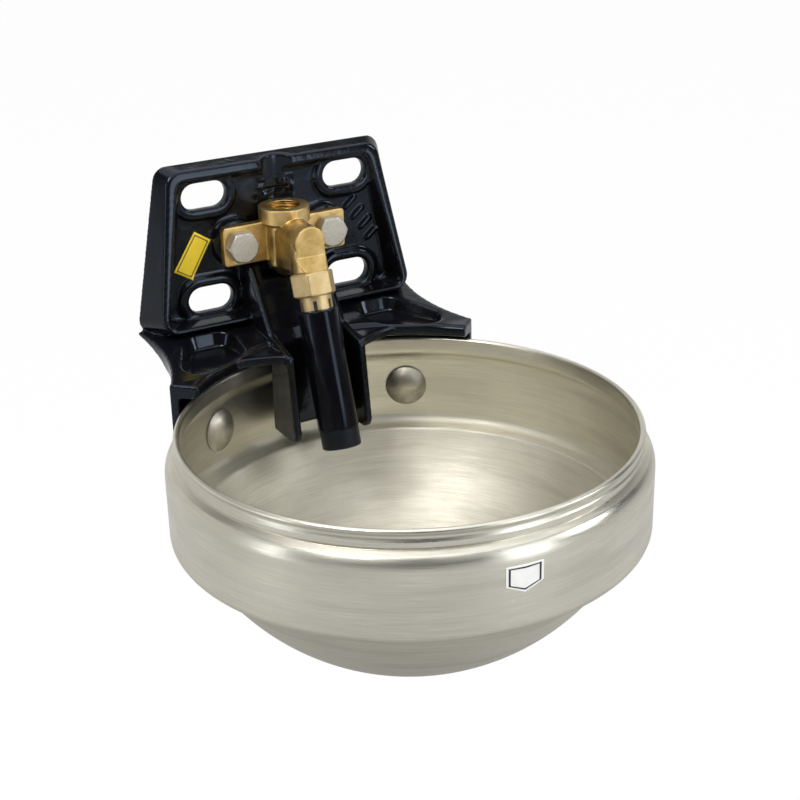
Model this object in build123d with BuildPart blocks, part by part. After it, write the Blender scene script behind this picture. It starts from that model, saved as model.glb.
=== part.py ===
from build123d import *
from math import asin, atan2, cos, hypot, radians, sin, sqrt, tan
import os

os.makedirs("parts", exist_ok=True)

# Wall-hung stock drinking bowl with a push-tube valve.
# Frame: origin at the centre of the four wall slots, on the wall plane;
# +X to the right of somebody facing the wall, +Y into the wall, +Z up. Millimetres.

# ---------------------------------------------------------------- driving sizes
running_gap = 0.3            # clearance between castings and what sits beside them
cut_past = 1.0               # how far a cut runs beyond the face it opens

# where the bowl hangs
band_off_wall = 30.5         # back of the band to the wall
rim_below_slots = 62.4       # bowl: deep-drawn stainless sheet
bowl_sheet = 1.2
band_r = 129.5               # outside of the upright band
band_depth = 58.8            # rim to the ledge under the band
band_corner_r = 6.0
ledge_width = 11.0           # step from the band in to the round bottom
dome_centre_drop = 3.3       # centre of the round bottom, below the rim
ledge_corner_r = 2.4
rim_inset = 8.9              # rim opening, in from the band
rim_bead_width = 3.4
rim_bead_depth = 6.2
rim_groove_depth = 0.9
rim_band_depth = 9.0         # foot of the rolled rim
crease_depth = 10.2
crease_inset = 6.6
step_inset = 2.9             # the sheet steps out below the crease
step_depth = 12.2
neck_r = 4.0                 # bend inside, under the rolled rim
step_corner_r = 2.0
shoulder_depth = 20.0        # cast back plate
plate_top_z = 49.7
plate_bottom_z = -48.0
plate_back_top_half = 71.4
plate_back_bottom_half = 89.8
plate_front_top_z = 46.6
plate_front_bottom_z = -44.0
plate_front_top_half = 66.4
plate_front_bottom_half = 81.8
plate_depth_top = 9.8
plate_depth_bottom = 22.4
plate_corner_r = 9.0
plate_rim_width = 4.5
dish_draft = 3.5
dish_sill_front = 2.0
dish_sill_back = 3.0
panel_front_depth = 6.8      # wall plane to the dished panel
panel_back_depth = 2.5
slot_pitch_x = 90.0
slot_pitch_z = 62.0
slot_length = 28.0
slot_width = 15.5
slot_pad_edge = 6.5
slot_pad_proud = 2.6
slot_pad_taper = 20.0

# deck that carries the cradle, the cradle itself and its overhanging lip
deck_back_z = 17.2           # above the rim, at the wall
deck_fall = 8.0              # how much lower it is at the wing ends
deck_thickness = 6.1
deck_side_margin = 1.0
deck_waist_half = 86.0
deck_waist_off_wall = 32.0
wing_angle = 46.6
wing_proud = 4.4             # wing ends stand out from the band
lip_overhang = 12.3          # lip reaches in over the band
lip_rise = 1.2               # underside above the rolled rim
cradle_wall = 4.6
cradle_gap = 0.6
cradle_drop = 48.3
deck_edge_thickness = 3.0    # at the wall
deck_under_off_wall = 34.0   # the underside is level in front of this
nose_r = 3.0                 # lip's upper edge
web_mid_angle = 20.0         # webs that run from the lip out to the guard
web_mid_inset = 9.5          # inside the lip's edge
web_angle = 27.0
web_low = 4.0
pocket_floor_rise = 6.0
pocket_wall = 3.0
pocket_off_guard = 16.0
pocket_off_wall = 22.0
pocket_back_half = 68.0
pocket_half = 84.0
pocket_side_off_wall = 52.0
pocket_front_half = 82.0
pocket_front_off_wall = 68.5
pocket_inner_off_wall = 47.0
pocket_corner_r = 7.0
pocket_slope = 3.0           # the floor's edge, in from the rim of the pocket
pocket_lean = 24.0

# channel guard over the rim
guard_half = 25.2
guard_wall = 4.4
guard_overhang_top = 36.2    # front edge, in from the band, at the rim
guard_overhang_bottom = 43.1
guard_drop = 44.3
guard_back_overhang = 13.9
guard_top_rise = 8.9
guard_foot_r = 6.6
guard_nose_r = 2.2
rib_knee_rise = 14.3
rib_top_off_wall = 16.5
rib_top_rise = 48.9
channel_set_back = 7.0

# supply pipe trough and valve pads
trough_clearance = 0.7
trough_above_collar = 7.5
pipe_trough_r = 12.5
valve_pad_r = 13.5

# bolts that hold the bowl
bowl_bolt_angle = 29.0
bowl_bolt_drop = 33.8
bowl_bolt_d = 10.0
bowl_bolt_head_d = 24.65
bowl_bolt_head_h = 5.4
bowl_bolt_neck = 10.0
bowl_bolt_neck_length = 6.0
bowl_bolt_play = 0.4
bowl_seal_d = 24.0
bowl_washer_d = 20.0
bowl_washer_thickness = 2.0
hex_af = 17.0
bowl_nut_height = 8.0
bowl_bolt_stickout = 3.0

# brass valve
inlet_off_wall = 18.0
inlet_top_rise = 83.3        # collar top above the rim
collar_r = 15.0
collar_height = 9.0
barrel_r = 11.8
barrel_bottom_rise = 48.7
cone_height = 7.5
cone_tip_r = 4.0
collar_slope_height = 1.6
inlet_bore_r = 9.3           # G 1/2 thread, minor radius
inlet_bore_depth = 14.0
well_r = 7.3                  # below the thread, round the strainer
well_bottom_rise = 58.5
strainer_r = 7.0
strainer_flange_r = 8.5
strainer_wall = 0.8
strainer_sink = 0.3          # its flange lies this far below the thread
strainer_depth = 8.0
ear_rise = 63.4
ear_half_length = 39.0
ear_height = 23.4
ear_thickness = 5.8
ear_set_back = 5.3            # back of the ears, behind the inlet axis
ear_corner_r = 2.0
valve_bolt_pitch = 57.4
valve_bolt_d = 10.0
valve_bolt_head = 6.4
valve_bolt_length = 14.0

# leg of the valve: its axis leans, foot towards the animal
leg_tilt = 17.5
nut_off_inlet = 34.2         # middle of the union nut, in front of the inlet axis
nut_rise = 44.7
leg_r = 10.2
passage_rise = 68.5
passage_r = 9.6
passage_bore_r = 5.0
passage_end_wall = 6.0       # brass in front of the passage
waterway_r = 2.4             # drilled from the valve up to the passage
waterway_low = 12.0          # its foot, along the leg
waterway_off_inlet = 23.0    # its top, in front of the inlet axis
face_off_inlet = 33.4
face_bottom_rise = 60.5
face_slope = 42.0
nut_af = 22.5
nut_turn = 54.0              # a flat of the nut faces front left
nut_height = 14.0
nut_mouth_r = 10.3
nut_mouth_depth = 3.0
nut_lip = 1.3
nut_lip_r = 7.6
nut_cavity_r = 10.0
leg_end = 3.5                # leg's foot, above the nut's middle
leg_thread_r = 9.3
thread_play = 0.05

# valve inside the leg
chamber_r = 5.0              # round the disc
chamber_top = 8.9            # above the nut's middle, along the leg
leg_bore_r = 3.6             # round the spring
leg_bore_top = 12.5
seat_r = 6.4
seat_height = 2.0
seat_bore_r = 3.0
seat_seal_section = 0.7
nut_seal_inner_r = 8.5
nut_seal_thickness = 1.2
disc_r = 4.4
disc_thickness = 1.4
stem_r = 1.2
stem_flange_r = 4.2
stem_flange_thickness = 0.8
stem_guide_length = 0.3
stem_gap = 0.3
spring_wire_r = 0.35
spring_turns = 3.0
spring_length = 3.5
retainer_thickness = 0.8
retainer_holes = 6
retainer_hole_r = 0.6

# rocking tube
rocker_thickness = 1.4
rocker_ridge = 0.8           # radius of the half-round ridge on which the ring rocks sideways
rocker_r = 9.5
rocker_bore_r = 6.6
flange_r = 7.7
flange_thickness = 1.6
sleeve_neck_r = 5.6
sleeve_r = 8.8
sleeve_top = -6.7
sleeve_bottom = -20.0
sleeve_bore_r = 4.4
sleeve_ports = 4
sleeve_port_r = 1.1
sleeve_port_spread_r = 2.8
ferrule_r = 9.25
ferrule_slots = 6
ferrule_slot_width = 2.2
ferrule_slot_depth = 5.2
tube_top = -14.8             # below the nut's middle, along the leg
tube_bottom = -84.6
tube_top_r = 11.2
tube_bottom_r = 11.3
tube_bore_r = 7.5
bumper_height = 11.4
bumper_r = 10.9
bumper_bore_r = 5.4
bumper_neck_height = 9.0

# ---------------------------------------------------------------- frames
bowl_axis_to_wall = band_r + band_off_wall
bowl_y = -bowl_axis_to_wall
inlet_reach = bowl_axis_to_wall - inlet_off_wall     # reaches are measured back from the bowl axis
nut_reach = inlet_reach - nut_off_inlet
face_reach = inlet_reach - face_off_inlet
rim_z = -rim_below_slots
bowl_origin = (0, bowl_y, rim_z)
bowl_section = Plane(origin=bowl_origin, x_dir=(1, 0, 0), z_dir=(0, -1, 0))
bowl_axis = Axis(bowl_origin, (0, 0, 1))
side_plane = Plane(origin=bowl_origin, x_dir=(0, 1, 0), z_dir=(1, 0, 0))
rim_plane = Plane(origin=bowl_origin)

lean = radians(leg_tilt)
leg_origin = (0, bowl_y + nut_reach, rim_z + nut_rise)
leg_up = (0, sin(lean), cos(lean))
leg_section = Plane(origin=leg_origin, x_dir=(1, 0, 0), z_dir=(0, -cos(lean), sin(lean)))
leg_plane = Plane(origin=leg_origin, x_dir=(1, 0, 0), z_dir=leg_up)
leg_axis = Axis(leg_origin, leg_up)


def turned(section, axis, outline, mode=Mode.ADD):
    """Revolve an outline of (radius, height) corners about an axis."""
    with BuildSketch(section) as profile:
        with BuildLine():
            Polyline(*outline, close=True)
        make_face()
    revolve(profile.sketch, axis=axis, mode=mode)


def leg_turned(outline, mode=Mode.ADD):
    turned(leg_section, leg_axis, outline, mode)


def ring_outline(inner_r, outer_r, low, high):
    return (inner_r, low), (outer_r, low), (outer_r, high), (inner_r, high)


def finish(piece, name):
    piece.part.label = name
    export_step(piece.part, "parts/" + name + ".step")


# ---------------------------------------------------------------- bowl
band_inner_r = band_r - bowl_sheet
rim_inner_r = band_r - rim_inset
crease_r = band_r - crease_inset
ledge_r = band_r - ledge_width
dome_r = hypot(ledge_r, band_depth - dome_centre_drop)
dome_inner_r = dome_r - bowl_sheet
ledge_inner_depth = band_depth - bowl_sheet
dome_bottom = -dome_centre_drop - dome_r
ledge_inner_r = sqrt(dome_inner_r**2 - (ledge_inner_depth - dome_centre_drop) ** 2)
bead_outer_r = rim_inner_r + rim_bead_width
bead_r = rim_bead_width / 2
step_r = band_r - step_inset
shoulder_drop = shoulder_depth - step_depth
shoulder_r = (step_inset**2 + shoulder_drop**2) / (2 * step_inset)
shoulder_turn = asin(shoulder_drop / shoulder_r)
shoulder_centre_r = band_r - shoulder_r
step_inner_r = step_r - bowl_sheet * cos(shoulder_turn)
step_inner_depth = step_depth + bowl_sheet * sin(shoulder_turn)
step_fall = (step_depth - crease_depth) / (step_r - crease_r)
neck_depth = step_inner_depth - step_fall * (step_inner_r - rim_inner_r)


def bolt_planes(reach):
    """Planes across each bowl bolt, facing the bowl's axis, at a reach from it."""
    planes = []
    for side in (-1, 1):
        turn = radians(side * bowl_bolt_angle)
        out = (sin(turn), cos(turn), 0)
        spot = (reach * out[0], bowl_y + reach * out[1], rim_z - bowl_bolt_drop)
        planes.append(Plane(origin=spot, x_dir=(0, 0, 1), z_dir=(-out[0], -out[1], 0)))
    return planes


def on_shoulder(arc_r, turn):
    """A point of the bend at the top of the band."""
    return shoulder_centre_r + arc_r * cos(turn), -shoulder_depth + arc_r * sin(turn)


def corner(sketch, r, z):
    return sketch.vertices().sort_by_distance((r, z))[0]


with BuildPart() as bowl:
    with BuildSketch(bowl_section) as bowl_profile:
        with BuildLine():
            dome_half = atan2(ledge_r, band_depth - dome_centre_drop) / 2
            inner_half = atan2(ledge_inner_r, ledge_inner_depth - dome_centre_drop) / 2
            ThreePointArc(
                (0, dome_bottom),
                (dome_r * sin(dome_half), -dome_centre_drop - dome_r * cos(dome_half)),
                (ledge_r, -band_depth),
            )
            Polyline(
                (ledge_r, -band_depth),
                (band_r, -band_depth),
                (band_r, -shoulder_depth),
            )
            ThreePointArc(
                (band_r, -shoulder_depth),
                on_shoulder(shoulder_r, shoulder_turn / 2),
                (step_r, -step_depth),
            )
            Polyline(
                (step_r, -step_depth),
                (crease_r, -crease_depth),
                (bead_outer_r, -rim_band_depth),
                (bead_outer_r, -rim_bead_depth),
            )
            ThreePointArc(
                (bead_outer_r, -rim_bead_depth),
                (bead_outer_r - rim_groove_depth, -(rim_bead_depth + bead_r) / 2),
                (bead_outer_r, -bead_r),
            )
            ThreePointArc((bead_outer_r, -bead_r), (rim_inner_r + bead_r, 0), (rim_inner_r, -bead_r))
            Polyline(
                (rim_inner_r, -bead_r),
                (rim_inner_r, -neck_depth),
                (step_inner_r, -step_inner_depth),
            )
            ThreePointArc(
                (step_inner_r, -step_inner_depth),
                on_shoulder(shoulder_r - bowl_sheet, shoulder_turn / 2),
                (band_inner_r, -shoulder_depth),
            )
            Polyline(
                (band_inner_r, -shoulder_depth),
                (band_inner_r, -ledge_inner_depth),
                (ledge_inner_r, -ledge_inner_depth),
            )
            ThreePointArc(
                (ledge_inner_r, -ledge_inner_depth),
                (
                    dome_inner_r * sin(inner_half),
                    -dome_centre_drop - dome_inner_r * cos(inner_half),
                ),
                (0, dome_bottom + bowl_sheet),
            )
            Line((0, dome_bottom + bowl_sheet), (0, dome_bottom))
        make_face()
        fillet(corner(bowl_profile, band_r, -band_depth), band_corner_r)
        fillet(
            corner(bowl_profile, band_inner_r, -ledge_inner_depth), band_corner_r - bowl_sheet
        )
        fillet(corner(bowl_profile, ledge_r, -band_depth), ledge_corner_r)
        fillet(
            corner(bowl_profile, ledge_inner_r, -ledge_inner_depth), ledge_corner_r + bowl_sheet
        )
        fillet(corner(bowl_profile, step_r, -step_depth), step_corner_r)
        fillet(corner(bowl_profile, rim_inner_r, -neck_depth), neck_r)
    revolve(axis=bowl_axis)
    with BuildSketch(*bolt_planes(band_r + running_gap)):
        Rectangle(bowl_bolt_neck + bowl_bolt_play, bowl_bolt_neck + bowl_bolt_play)
    extrude(amount=running_gap + bowl_sheet + cut_past, mode=Mode.SUBTRACT)
finish(bowl, "bowl")


# ---------------------------------------------------------------- cast back plate
plate_lean_run = plate_depth_bottom - plate_depth_top
plate_front_height = plate_front_top_z - plate_front_bottom_z
front_slope = hypot(plate_lean_run, plate_front_height)
front_plane = Plane(
    origin=(0, -plate_depth_top, plate_front_top_z),
    x_dir=(1, 0, 0),
    z_dir=(0, -plate_front_height, plate_lean_run),
)
wall_plane = Plane.XZ
panel_plane = Plane.XZ.offset(panel_front_depth)
lip_top = deck_back_z - deck_fall
lip_low = lip_top - deck_thickness


def trapezoid(top, bottom, top_half, bottom_half, corner_r):
    """A plate outline between two heights, with rounded corners."""
    with BuildLine() as outline:
        Polyline(
            (-bottom_half, bottom),
            (bottom_half, bottom),
            (top_half, top),
            (-top_half, top),
            close=True,
        )
    face = make_face(outline.edges())
    fillet(face.vertices(), corner_r)


def envelope(play):
    """The bowl's outside with some play, open at the top."""
    return (
        (guard_back_reach, -bowl_axis_to_wall),
        (guard_back_reach, -band_depth),
        (rim_inner_r - play, -band_depth),
        (rim_inner_r - play, lip_rise),
        (bead_outer_r + play, lip_rise),
        (bead_outer_r + play, -rim_band_depth),
        (band_r + play, -step_depth),
        (band_r + play, -bowl_axis_to_wall),
    )


def at_angle(r, angle):
    return r * sin(radians(angle)), r * cos(radians(angle))


casting_back_r = band_r + cradle_gap + cradle_wall
wing_outer_r = band_r + wing_proud
lip_r = band_r - lip_overhang
guard_reach_top = band_r - guard_overhang_top
guard_reach_bottom = band_r - guard_overhang_bottom
guard_back_reach = band_r - guard_back_overhang
rib_knee_reach = lip_r
rib_top_reach = bowl_axis_to_wall - rib_top_off_wall
trough_low = barrel_bottom_rise - cone_height - trough_clearance
wing_x, wing_reach = at_angle(wing_outer_r, wing_angle)
lip_x, lip_reach = at_angle(lip_r, wing_angle)
deck_half = plate_back_bottom_half - deck_side_margin
wing = radians(wing_angle)
wing_section = Plane(
    origin=bowl_origin, x_dir=(sin(wing), cos(wing), 0), z_dir=(cos(wing), -sin(wing), 0)
)

web_mid = at_angle(lip_r - web_mid_inset, web_mid_angle)
web_x, web_reach = at_angle(lip_r, web_angle)


def web(side):
    """One of the two webs in plan, from the lip's edge out to the guard's front corner."""
    with BuildLine() as outline:
        ThreePointArc(
            (side * guard_half, guard_reach_top + guard_nose_r),
            (side * web_mid[0], web_mid[1]),
            (side * web_x, web_reach),
        )
        Polyline(
            (side * web_x, web_reach),
            (side * web_x, lip_r),
            (0, lip_r),
            (0, guard_reach_top + guard_nose_r),
            (side * guard_half, guard_reach_top + guard_nose_r),
        )
    make_face(outline.edges())


def pocket_outline(lean_in, spread=0):
    """Both pockets of the deck in plan, pulled in by a slope or spread by a wall."""
    with BuildSketch(mode=Mode.PRIVATE) as pocket:
        Polygon(
            (guard_half + pocket_off_guard + lean_in, bowl_axis_to_wall - pocket_off_wall),
            (pocket_back_half - lean_in, bowl_axis_to_wall - pocket_off_wall),
            (pocket_half - lean_in, bowl_axis_to_wall - pocket_side_off_wall),
            (pocket_front_half - lean_in, bowl_axis_to_wall - pocket_front_off_wall + lean_in),
            (guard_half + pocket_off_guard + lean_in, bowl_axis_to_wall - pocket_inner_off_wall),
            align=None,
        )
        fillet(pocket.vertices(), pocket_corner_r)
        if spread:
            offset(amount=spread)
    add(pocket.sketch)
    add(pocket.sketch.mirror(Plane.YZ))


with BuildPart() as deck:
    with BuildSketch(rim_plane.offset(lip_low)):
        with BuildLine():
            Spline(
                (deck_half, bowl_axis_to_wall),
                (deck_waist_half, bowl_axis_to_wall - deck_waist_off_wall),
                (wing_x, wing_reach),
            )
            Line((wing_x, wing_reach), (lip_x, lip_reach))
            ThreePointArc((lip_x, lip_reach), (0, lip_r), (-lip_x, lip_reach))
            Line((-lip_x, lip_reach), (-wing_x, wing_reach))
            Spline(
                (-wing_x, wing_reach),
                (-deck_waist_half, bowl_axis_to_wall - deck_waist_off_wall),
                (-deck_half, bowl_axis_to_wall),
            )
            Line((-deck_half, bowl_axis_to_wall), (deck_half, bowl_axis_to_wall))
        make_face()
    extrude(amount=deck_back_z - lip_low)
    with BuildSketch(side_plane):
        Polygon(
            (bowl_axis_to_wall, deck_back_z - deck_edge_thickness),
            (bowl_axis_to_wall, deck_back_z),
            (wing_reach, lip_top),
            (0, lip_top),
            (0, lip_low),
            (bowl_axis_to_wall - deck_under_off_wall, lip_low),
            align=None,
        )
    extrude(amount=plate_back_bottom_half + wing_x, both=True, mode=Mode.INTERSECT)
    lip_edges = []
    for edge in deck.edges():
        middle = edge @ 0.5
        on_lip = abs(hypot(middle.X, middle.Y - bowl_y) - lip_r) < thread_play
        if on_lip and middle.Z > rim_z + lip_top - thread_play:
            lip_edges.append(edge)
    fillet(lip_edges, nose_r)

with BuildPart() as back_plate:
    # dished plate
    with BuildSketch(wall_plane):
        trapezoid(
            plate_top_z, plate_bottom_z, plate_back_top_half, plate_back_bottom_half, plate_corner_r
        )
    with BuildSketch(front_plane):
        trapezoid(0, -front_slope, plate_front_top_half, plate_front_bottom_half, plate_corner_r)
    loft()
    with BuildSketch(panel_plane):
        trapezoid(
            plate_front_top_z - plate_rim_width - dish_draft,
            plate_front_bottom_z + dish_sill_back,
            plate_front_top_half - plate_rim_width - dish_draft,
            plate_front_bottom_half - plate_rim_width - dish_draft,
            plate_corner_r - dish_draft,
        )
    with BuildSketch(front_plane.offset(cut_past)):
        trapezoid(
            -plate_rim_width,
            dish_sill_front - front_slope,
            plate_front_top_half - plate_rim_width,
            plate_front_bottom_half - plate_rim_width,
            plate_corner_r - dish_draft,
        )
    loft(mode=Mode.SUBTRACT)

    # pads round the slots and under the valve's ears
    with BuildSketch(panel_plane.offset(-running_gap)):
        with GridLocations(slot_pitch_x, slot_pitch_z, 2, 2):
            SlotOverall(slot_length + 2 * slot_pad_edge, slot_width + 2 * slot_pad_edge)
    extrude(amount=slot_pad_proud + running_gap, taper=slot_pad_taper)
    with BuildSketch(panel_plane.offset(-running_gap)):
        with Locations((0, rim_z + ear_rise)):
            with GridLocations(valve_bolt_pitch, 0, 2, 1):
                Circle(valve_pad_r)
    extrude(amount=bowl_axis_to_wall - inlet_reach - panel_front_depth + running_gap - ear_set_back)

    # deck, cradle and overhanging lip
    add(deck.part)
    with BuildSketch(wing_section) as wing_profile:
        Polygon(
            (lip_r, lip_low),
            (lip_r, lip_top),
            (casting_back_r, lip_top),
            (casting_back_r, -cradle_drop),
            (band_r, -cradle_drop),
            (band_r, lip_rise),
            (rim_inner_r, lip_rise),
            align=None,
        )
        fillet(corner(wing_profile, lip_r, lip_top), nose_r)
    revolve(axis=bowl_axis, revolution_arc=2 * wing_angle)
    with BuildSketch(rim_plane.offset(web_low)):
        web(-1)
        web(1)
    extrude(amount=lip_top - web_low)
    with BuildSketch(rim_plane.offset(pocket_floor_rise - pocket_wall)):
        pocket_outline(0, pocket_wall)
    extrude(amount=deck_thickness)
    with BuildSketch(rim_plane.offset(pocket_floor_rise)):
        pocket_outline(pocket_slope)
    extrude(amount=deck_back_z - pocket_floor_rise, taper=-pocket_lean, mode=Mode.SUBTRACT)

    # channel guard: two walls that run from the plate, over the rim and down inside
    with BuildSketch(side_plane) as guard_side:
        Polygon(
            (guard_reach_bottom, -guard_drop),
            (guard_reach_top, guard_top_rise),
            (rib_knee_reach, rib_knee_rise),
            (rib_top_reach, rib_top_rise),
            (bowl_axis_to_wall - panel_front_depth + running_gap, rib_top_rise + channel_set_back),
            (bowl_axis_to_wall - panel_back_depth, rib_top_rise),
            (bowl_axis_to_wall - panel_back_depth, lip_rise),
            (rim_inner_r, lip_rise),
            (rim_inner_r, -guard_drop),
            align=None,
        )
        fillet(corner(guard_side, guard_reach_bottom, -guard_drop), guard_foot_r)
        fillet(corner(guard_side, guard_reach_top, guard_top_rise), guard_nose_r)
    extrude(amount=guard_half, both=True)
    # the channel between them
    with BuildSketch(side_plane):
        Polygon(
            (0, -guard_drop - cut_past),
            (guard_back_reach, -guard_drop - cut_past),
            (guard_back_reach, guard_top_rise),
            (rib_knee_reach + channel_set_back, rib_knee_rise),
            (rib_top_reach + channel_set_back, rib_top_rise + channel_set_back),
            (rib_top_reach, rib_top_rise + 2 * channel_set_back),
            (0, rib_top_rise + 2 * channel_set_back),
            align=None,
        )
    extrude(amount=guard_half - guard_wall, both=True, mode=Mode.SUBTRACT)

    # trough for the supply pipe and the back of the valve
    with BuildSketch(Plane.XY.offset(rim_z + trough_low)):
        with Locations((0, bowl_y + inlet_reach)):
            Circle(collar_r + trough_clearance)
    extrude(amount=inlet_top_rise + trough_above_collar - trough_low, mode=Mode.SUBTRACT)
    with BuildSketch(Plane.XY):
        with Locations((0, bowl_y + inlet_reach)):
            Circle(pipe_trough_r)
    extrude(amount=plate_top_z, mode=Mode.SUBTRACT)

    # slots, tapped holes, the bowl's seat and its bolts' square holes
    with BuildSketch(wall_plane):
        with GridLocations(slot_pitch_x, slot_pitch_z, 2, 2):
            SlotOverall(slot_length, slot_width)
    extrude(amount=plate_depth_bottom, mode=Mode.SUBTRACT)
    with BuildSketch(wall_plane.offset(cut_past)):
        with Locations((0, rim_z + ear_rise)):
            with GridLocations(valve_bolt_pitch, 0, 2, 1):
                Circle(valve_bolt_d / 2)
    extrude(amount=plate_depth_bottom, mode=Mode.SUBTRACT)
    turned(bowl_section, bowl_axis, envelope(cradle_gap), Mode.SUBTRACT)
    with BuildSketch(*bolt_planes(casting_back_r + cradle_gap)):
        Rectangle(bowl_bolt_neck + bowl_bolt_play, bowl_bolt_neck + bowl_bolt_play)
    extrude(amount=2 * cradle_gap + cradle_wall + cut_past, mode=Mode.SUBTRACT)
    with BuildSketch(wall_plane):
        trapezoid(
            plate_top_z - plate_rim_width - dish_draft,
            rim_z + deck_back_z + plate_rim_width,
            plate_back_top_half - plate_rim_width - dish_draft,
            plate_back_bottom_half - 2 * plate_rim_width - dish_draft,
            plate_corner_r,
        )
        Rectangle(2 * (collar_r + plate_rim_width), 2 * plate_top_z, mode=Mode.SUBTRACT)
    extrude(amount=panel_back_depth, mode=Mode.SUBTRACT)
finish(back_plate, "back_plate")


# ---------------------------------------------------------------- bolts that hold the bowl
head_seat = sqrt(band_inner_r**2 - (bowl_bolt_head_d / 2) ** 2) - thread_play
washer_seat = casting_back_r + thread_play
bowl_nut_seat = washer_seat + bowl_washer_thickness
bowl_bolt_end = bowl_nut_seat + bowl_nut_height + bowl_bolt_stickout
head_sphere_r = ((bowl_bolt_head_d / 2) ** 2 + bowl_bolt_head_h**2) / (2 * bowl_bolt_head_h)
head_half = atan2(bowl_bolt_head_d / 2, head_sphere_r - bowl_bolt_head_h) / 2

with BuildPart() as bowl_bolts:
    for seat in bolt_planes(head_seat):
        shank = Plane(origin=seat.origin, x_dir=seat.x_dir, z_dir=-seat.z_dir)
        cap = Plane(origin=seat.origin, x_dir=seat.x_dir, z_dir=seat.x_dir.cross(seat.z_dir))
        with BuildSketch(cap):
            with BuildLine():
                ThreePointArc(
                    (bowl_bolt_head_d / 2, 0),
                    (
                        head_sphere_r * sin(head_half),
                        bowl_bolt_head_h - head_sphere_r * (1 - cos(head_half)),
                    ),
                    (0, bowl_bolt_head_h),
                )
                Polyline((0, bowl_bolt_head_h), (0, 0), (bowl_bolt_head_d / 2, 0))
            make_face()
        revolve(axis=Axis(seat.origin, seat.z_dir))
        with BuildSketch(shank):
            Rectangle(bowl_bolt_neck, bowl_bolt_neck)
        extrude(amount=bowl_bolt_neck_length)
        with BuildSketch(shank):
            Circle(bowl_bolt_d / 2)
        extrude(amount=bowl_bolt_end - head_seat)
finish(bowl_bolts, "bowl_bolts")

with BuildPart() as bowl_seals:
    with BuildSketch(*bolt_planes(band_r + cradle_gap / 2)):
        Circle(bowl_seal_d / 2)
        Rectangle(
            bowl_bolt_neck + bowl_bolt_play, bowl_bolt_neck + bowl_bolt_play, mode=Mode.SUBTRACT
        )
    extrude(amount=cradle_wall, both=True)
    turned(
        bowl_section,
        bowl_axis,
        ring_outline(
            band_r + thread_play, band_r + cradle_gap - thread_play, -band_depth, -shoulder_depth
        ),
        Mode.INTERSECT,
    )
finish(bowl_seals, "bowl_seals")

with BuildPart() as bowl_washers:
    with BuildSketch(*bolt_planes(bowl_nut_seat)):
        Circle(bowl_washer_d / 2)
        Circle(bowl_bolt_d / 2 + bowl_bolt_play, mode=Mode.SUBTRACT)
    extrude(amount=bowl_washer_thickness)
finish(bowl_washers, "bowl_washers")

with BuildPart() as bowl_nuts:
    with BuildSketch(*bolt_planes(bowl_nut_seat + bowl_nut_height)):
        RegularPolygon(hex_af / 2, 6, major_radius=False)
        Circle(bowl_bolt_d / 2 + thread_play, mode=Mode.SUBTRACT)
    extrude(amount=bowl_nut_height)
finish(bowl_nuts, "bowl_nuts")


# ---------------------------------------------------------------- brass valve body
inlet_y = bowl_y + inlet_reach
ear_back_y = inlet_y + ear_set_back
ear_front_y = ear_back_y - ear_thickness
face_y = bowl_y + face_reach
barrel_axis = Axis((0, inlet_y, rim_z), (0, 0, 1))
seat_top = leg_end + seat_height
strainer_seat = inlet_top_rise - inlet_bore_depth - strainer_sink - strainer_wall
barrel_section = Plane(origin=(0, inlet_y, rim_z), x_dir=(1, 0, 0), z_dir=(0, -1, 0))
passage_z = rim_z + passage_rise
leg_at_passage = (passage_rise - nut_rise) / cos(lean)
passage_end_y = face_y + passage_end_wall
web_foot = nut_height / 2 + running_gap
waterway_foot = leg_plane.offset(waterway_low).origin
waterway_run = Vector(0, inlet_y - waterway_off_inlet, passage_z) - waterway_foot

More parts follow.
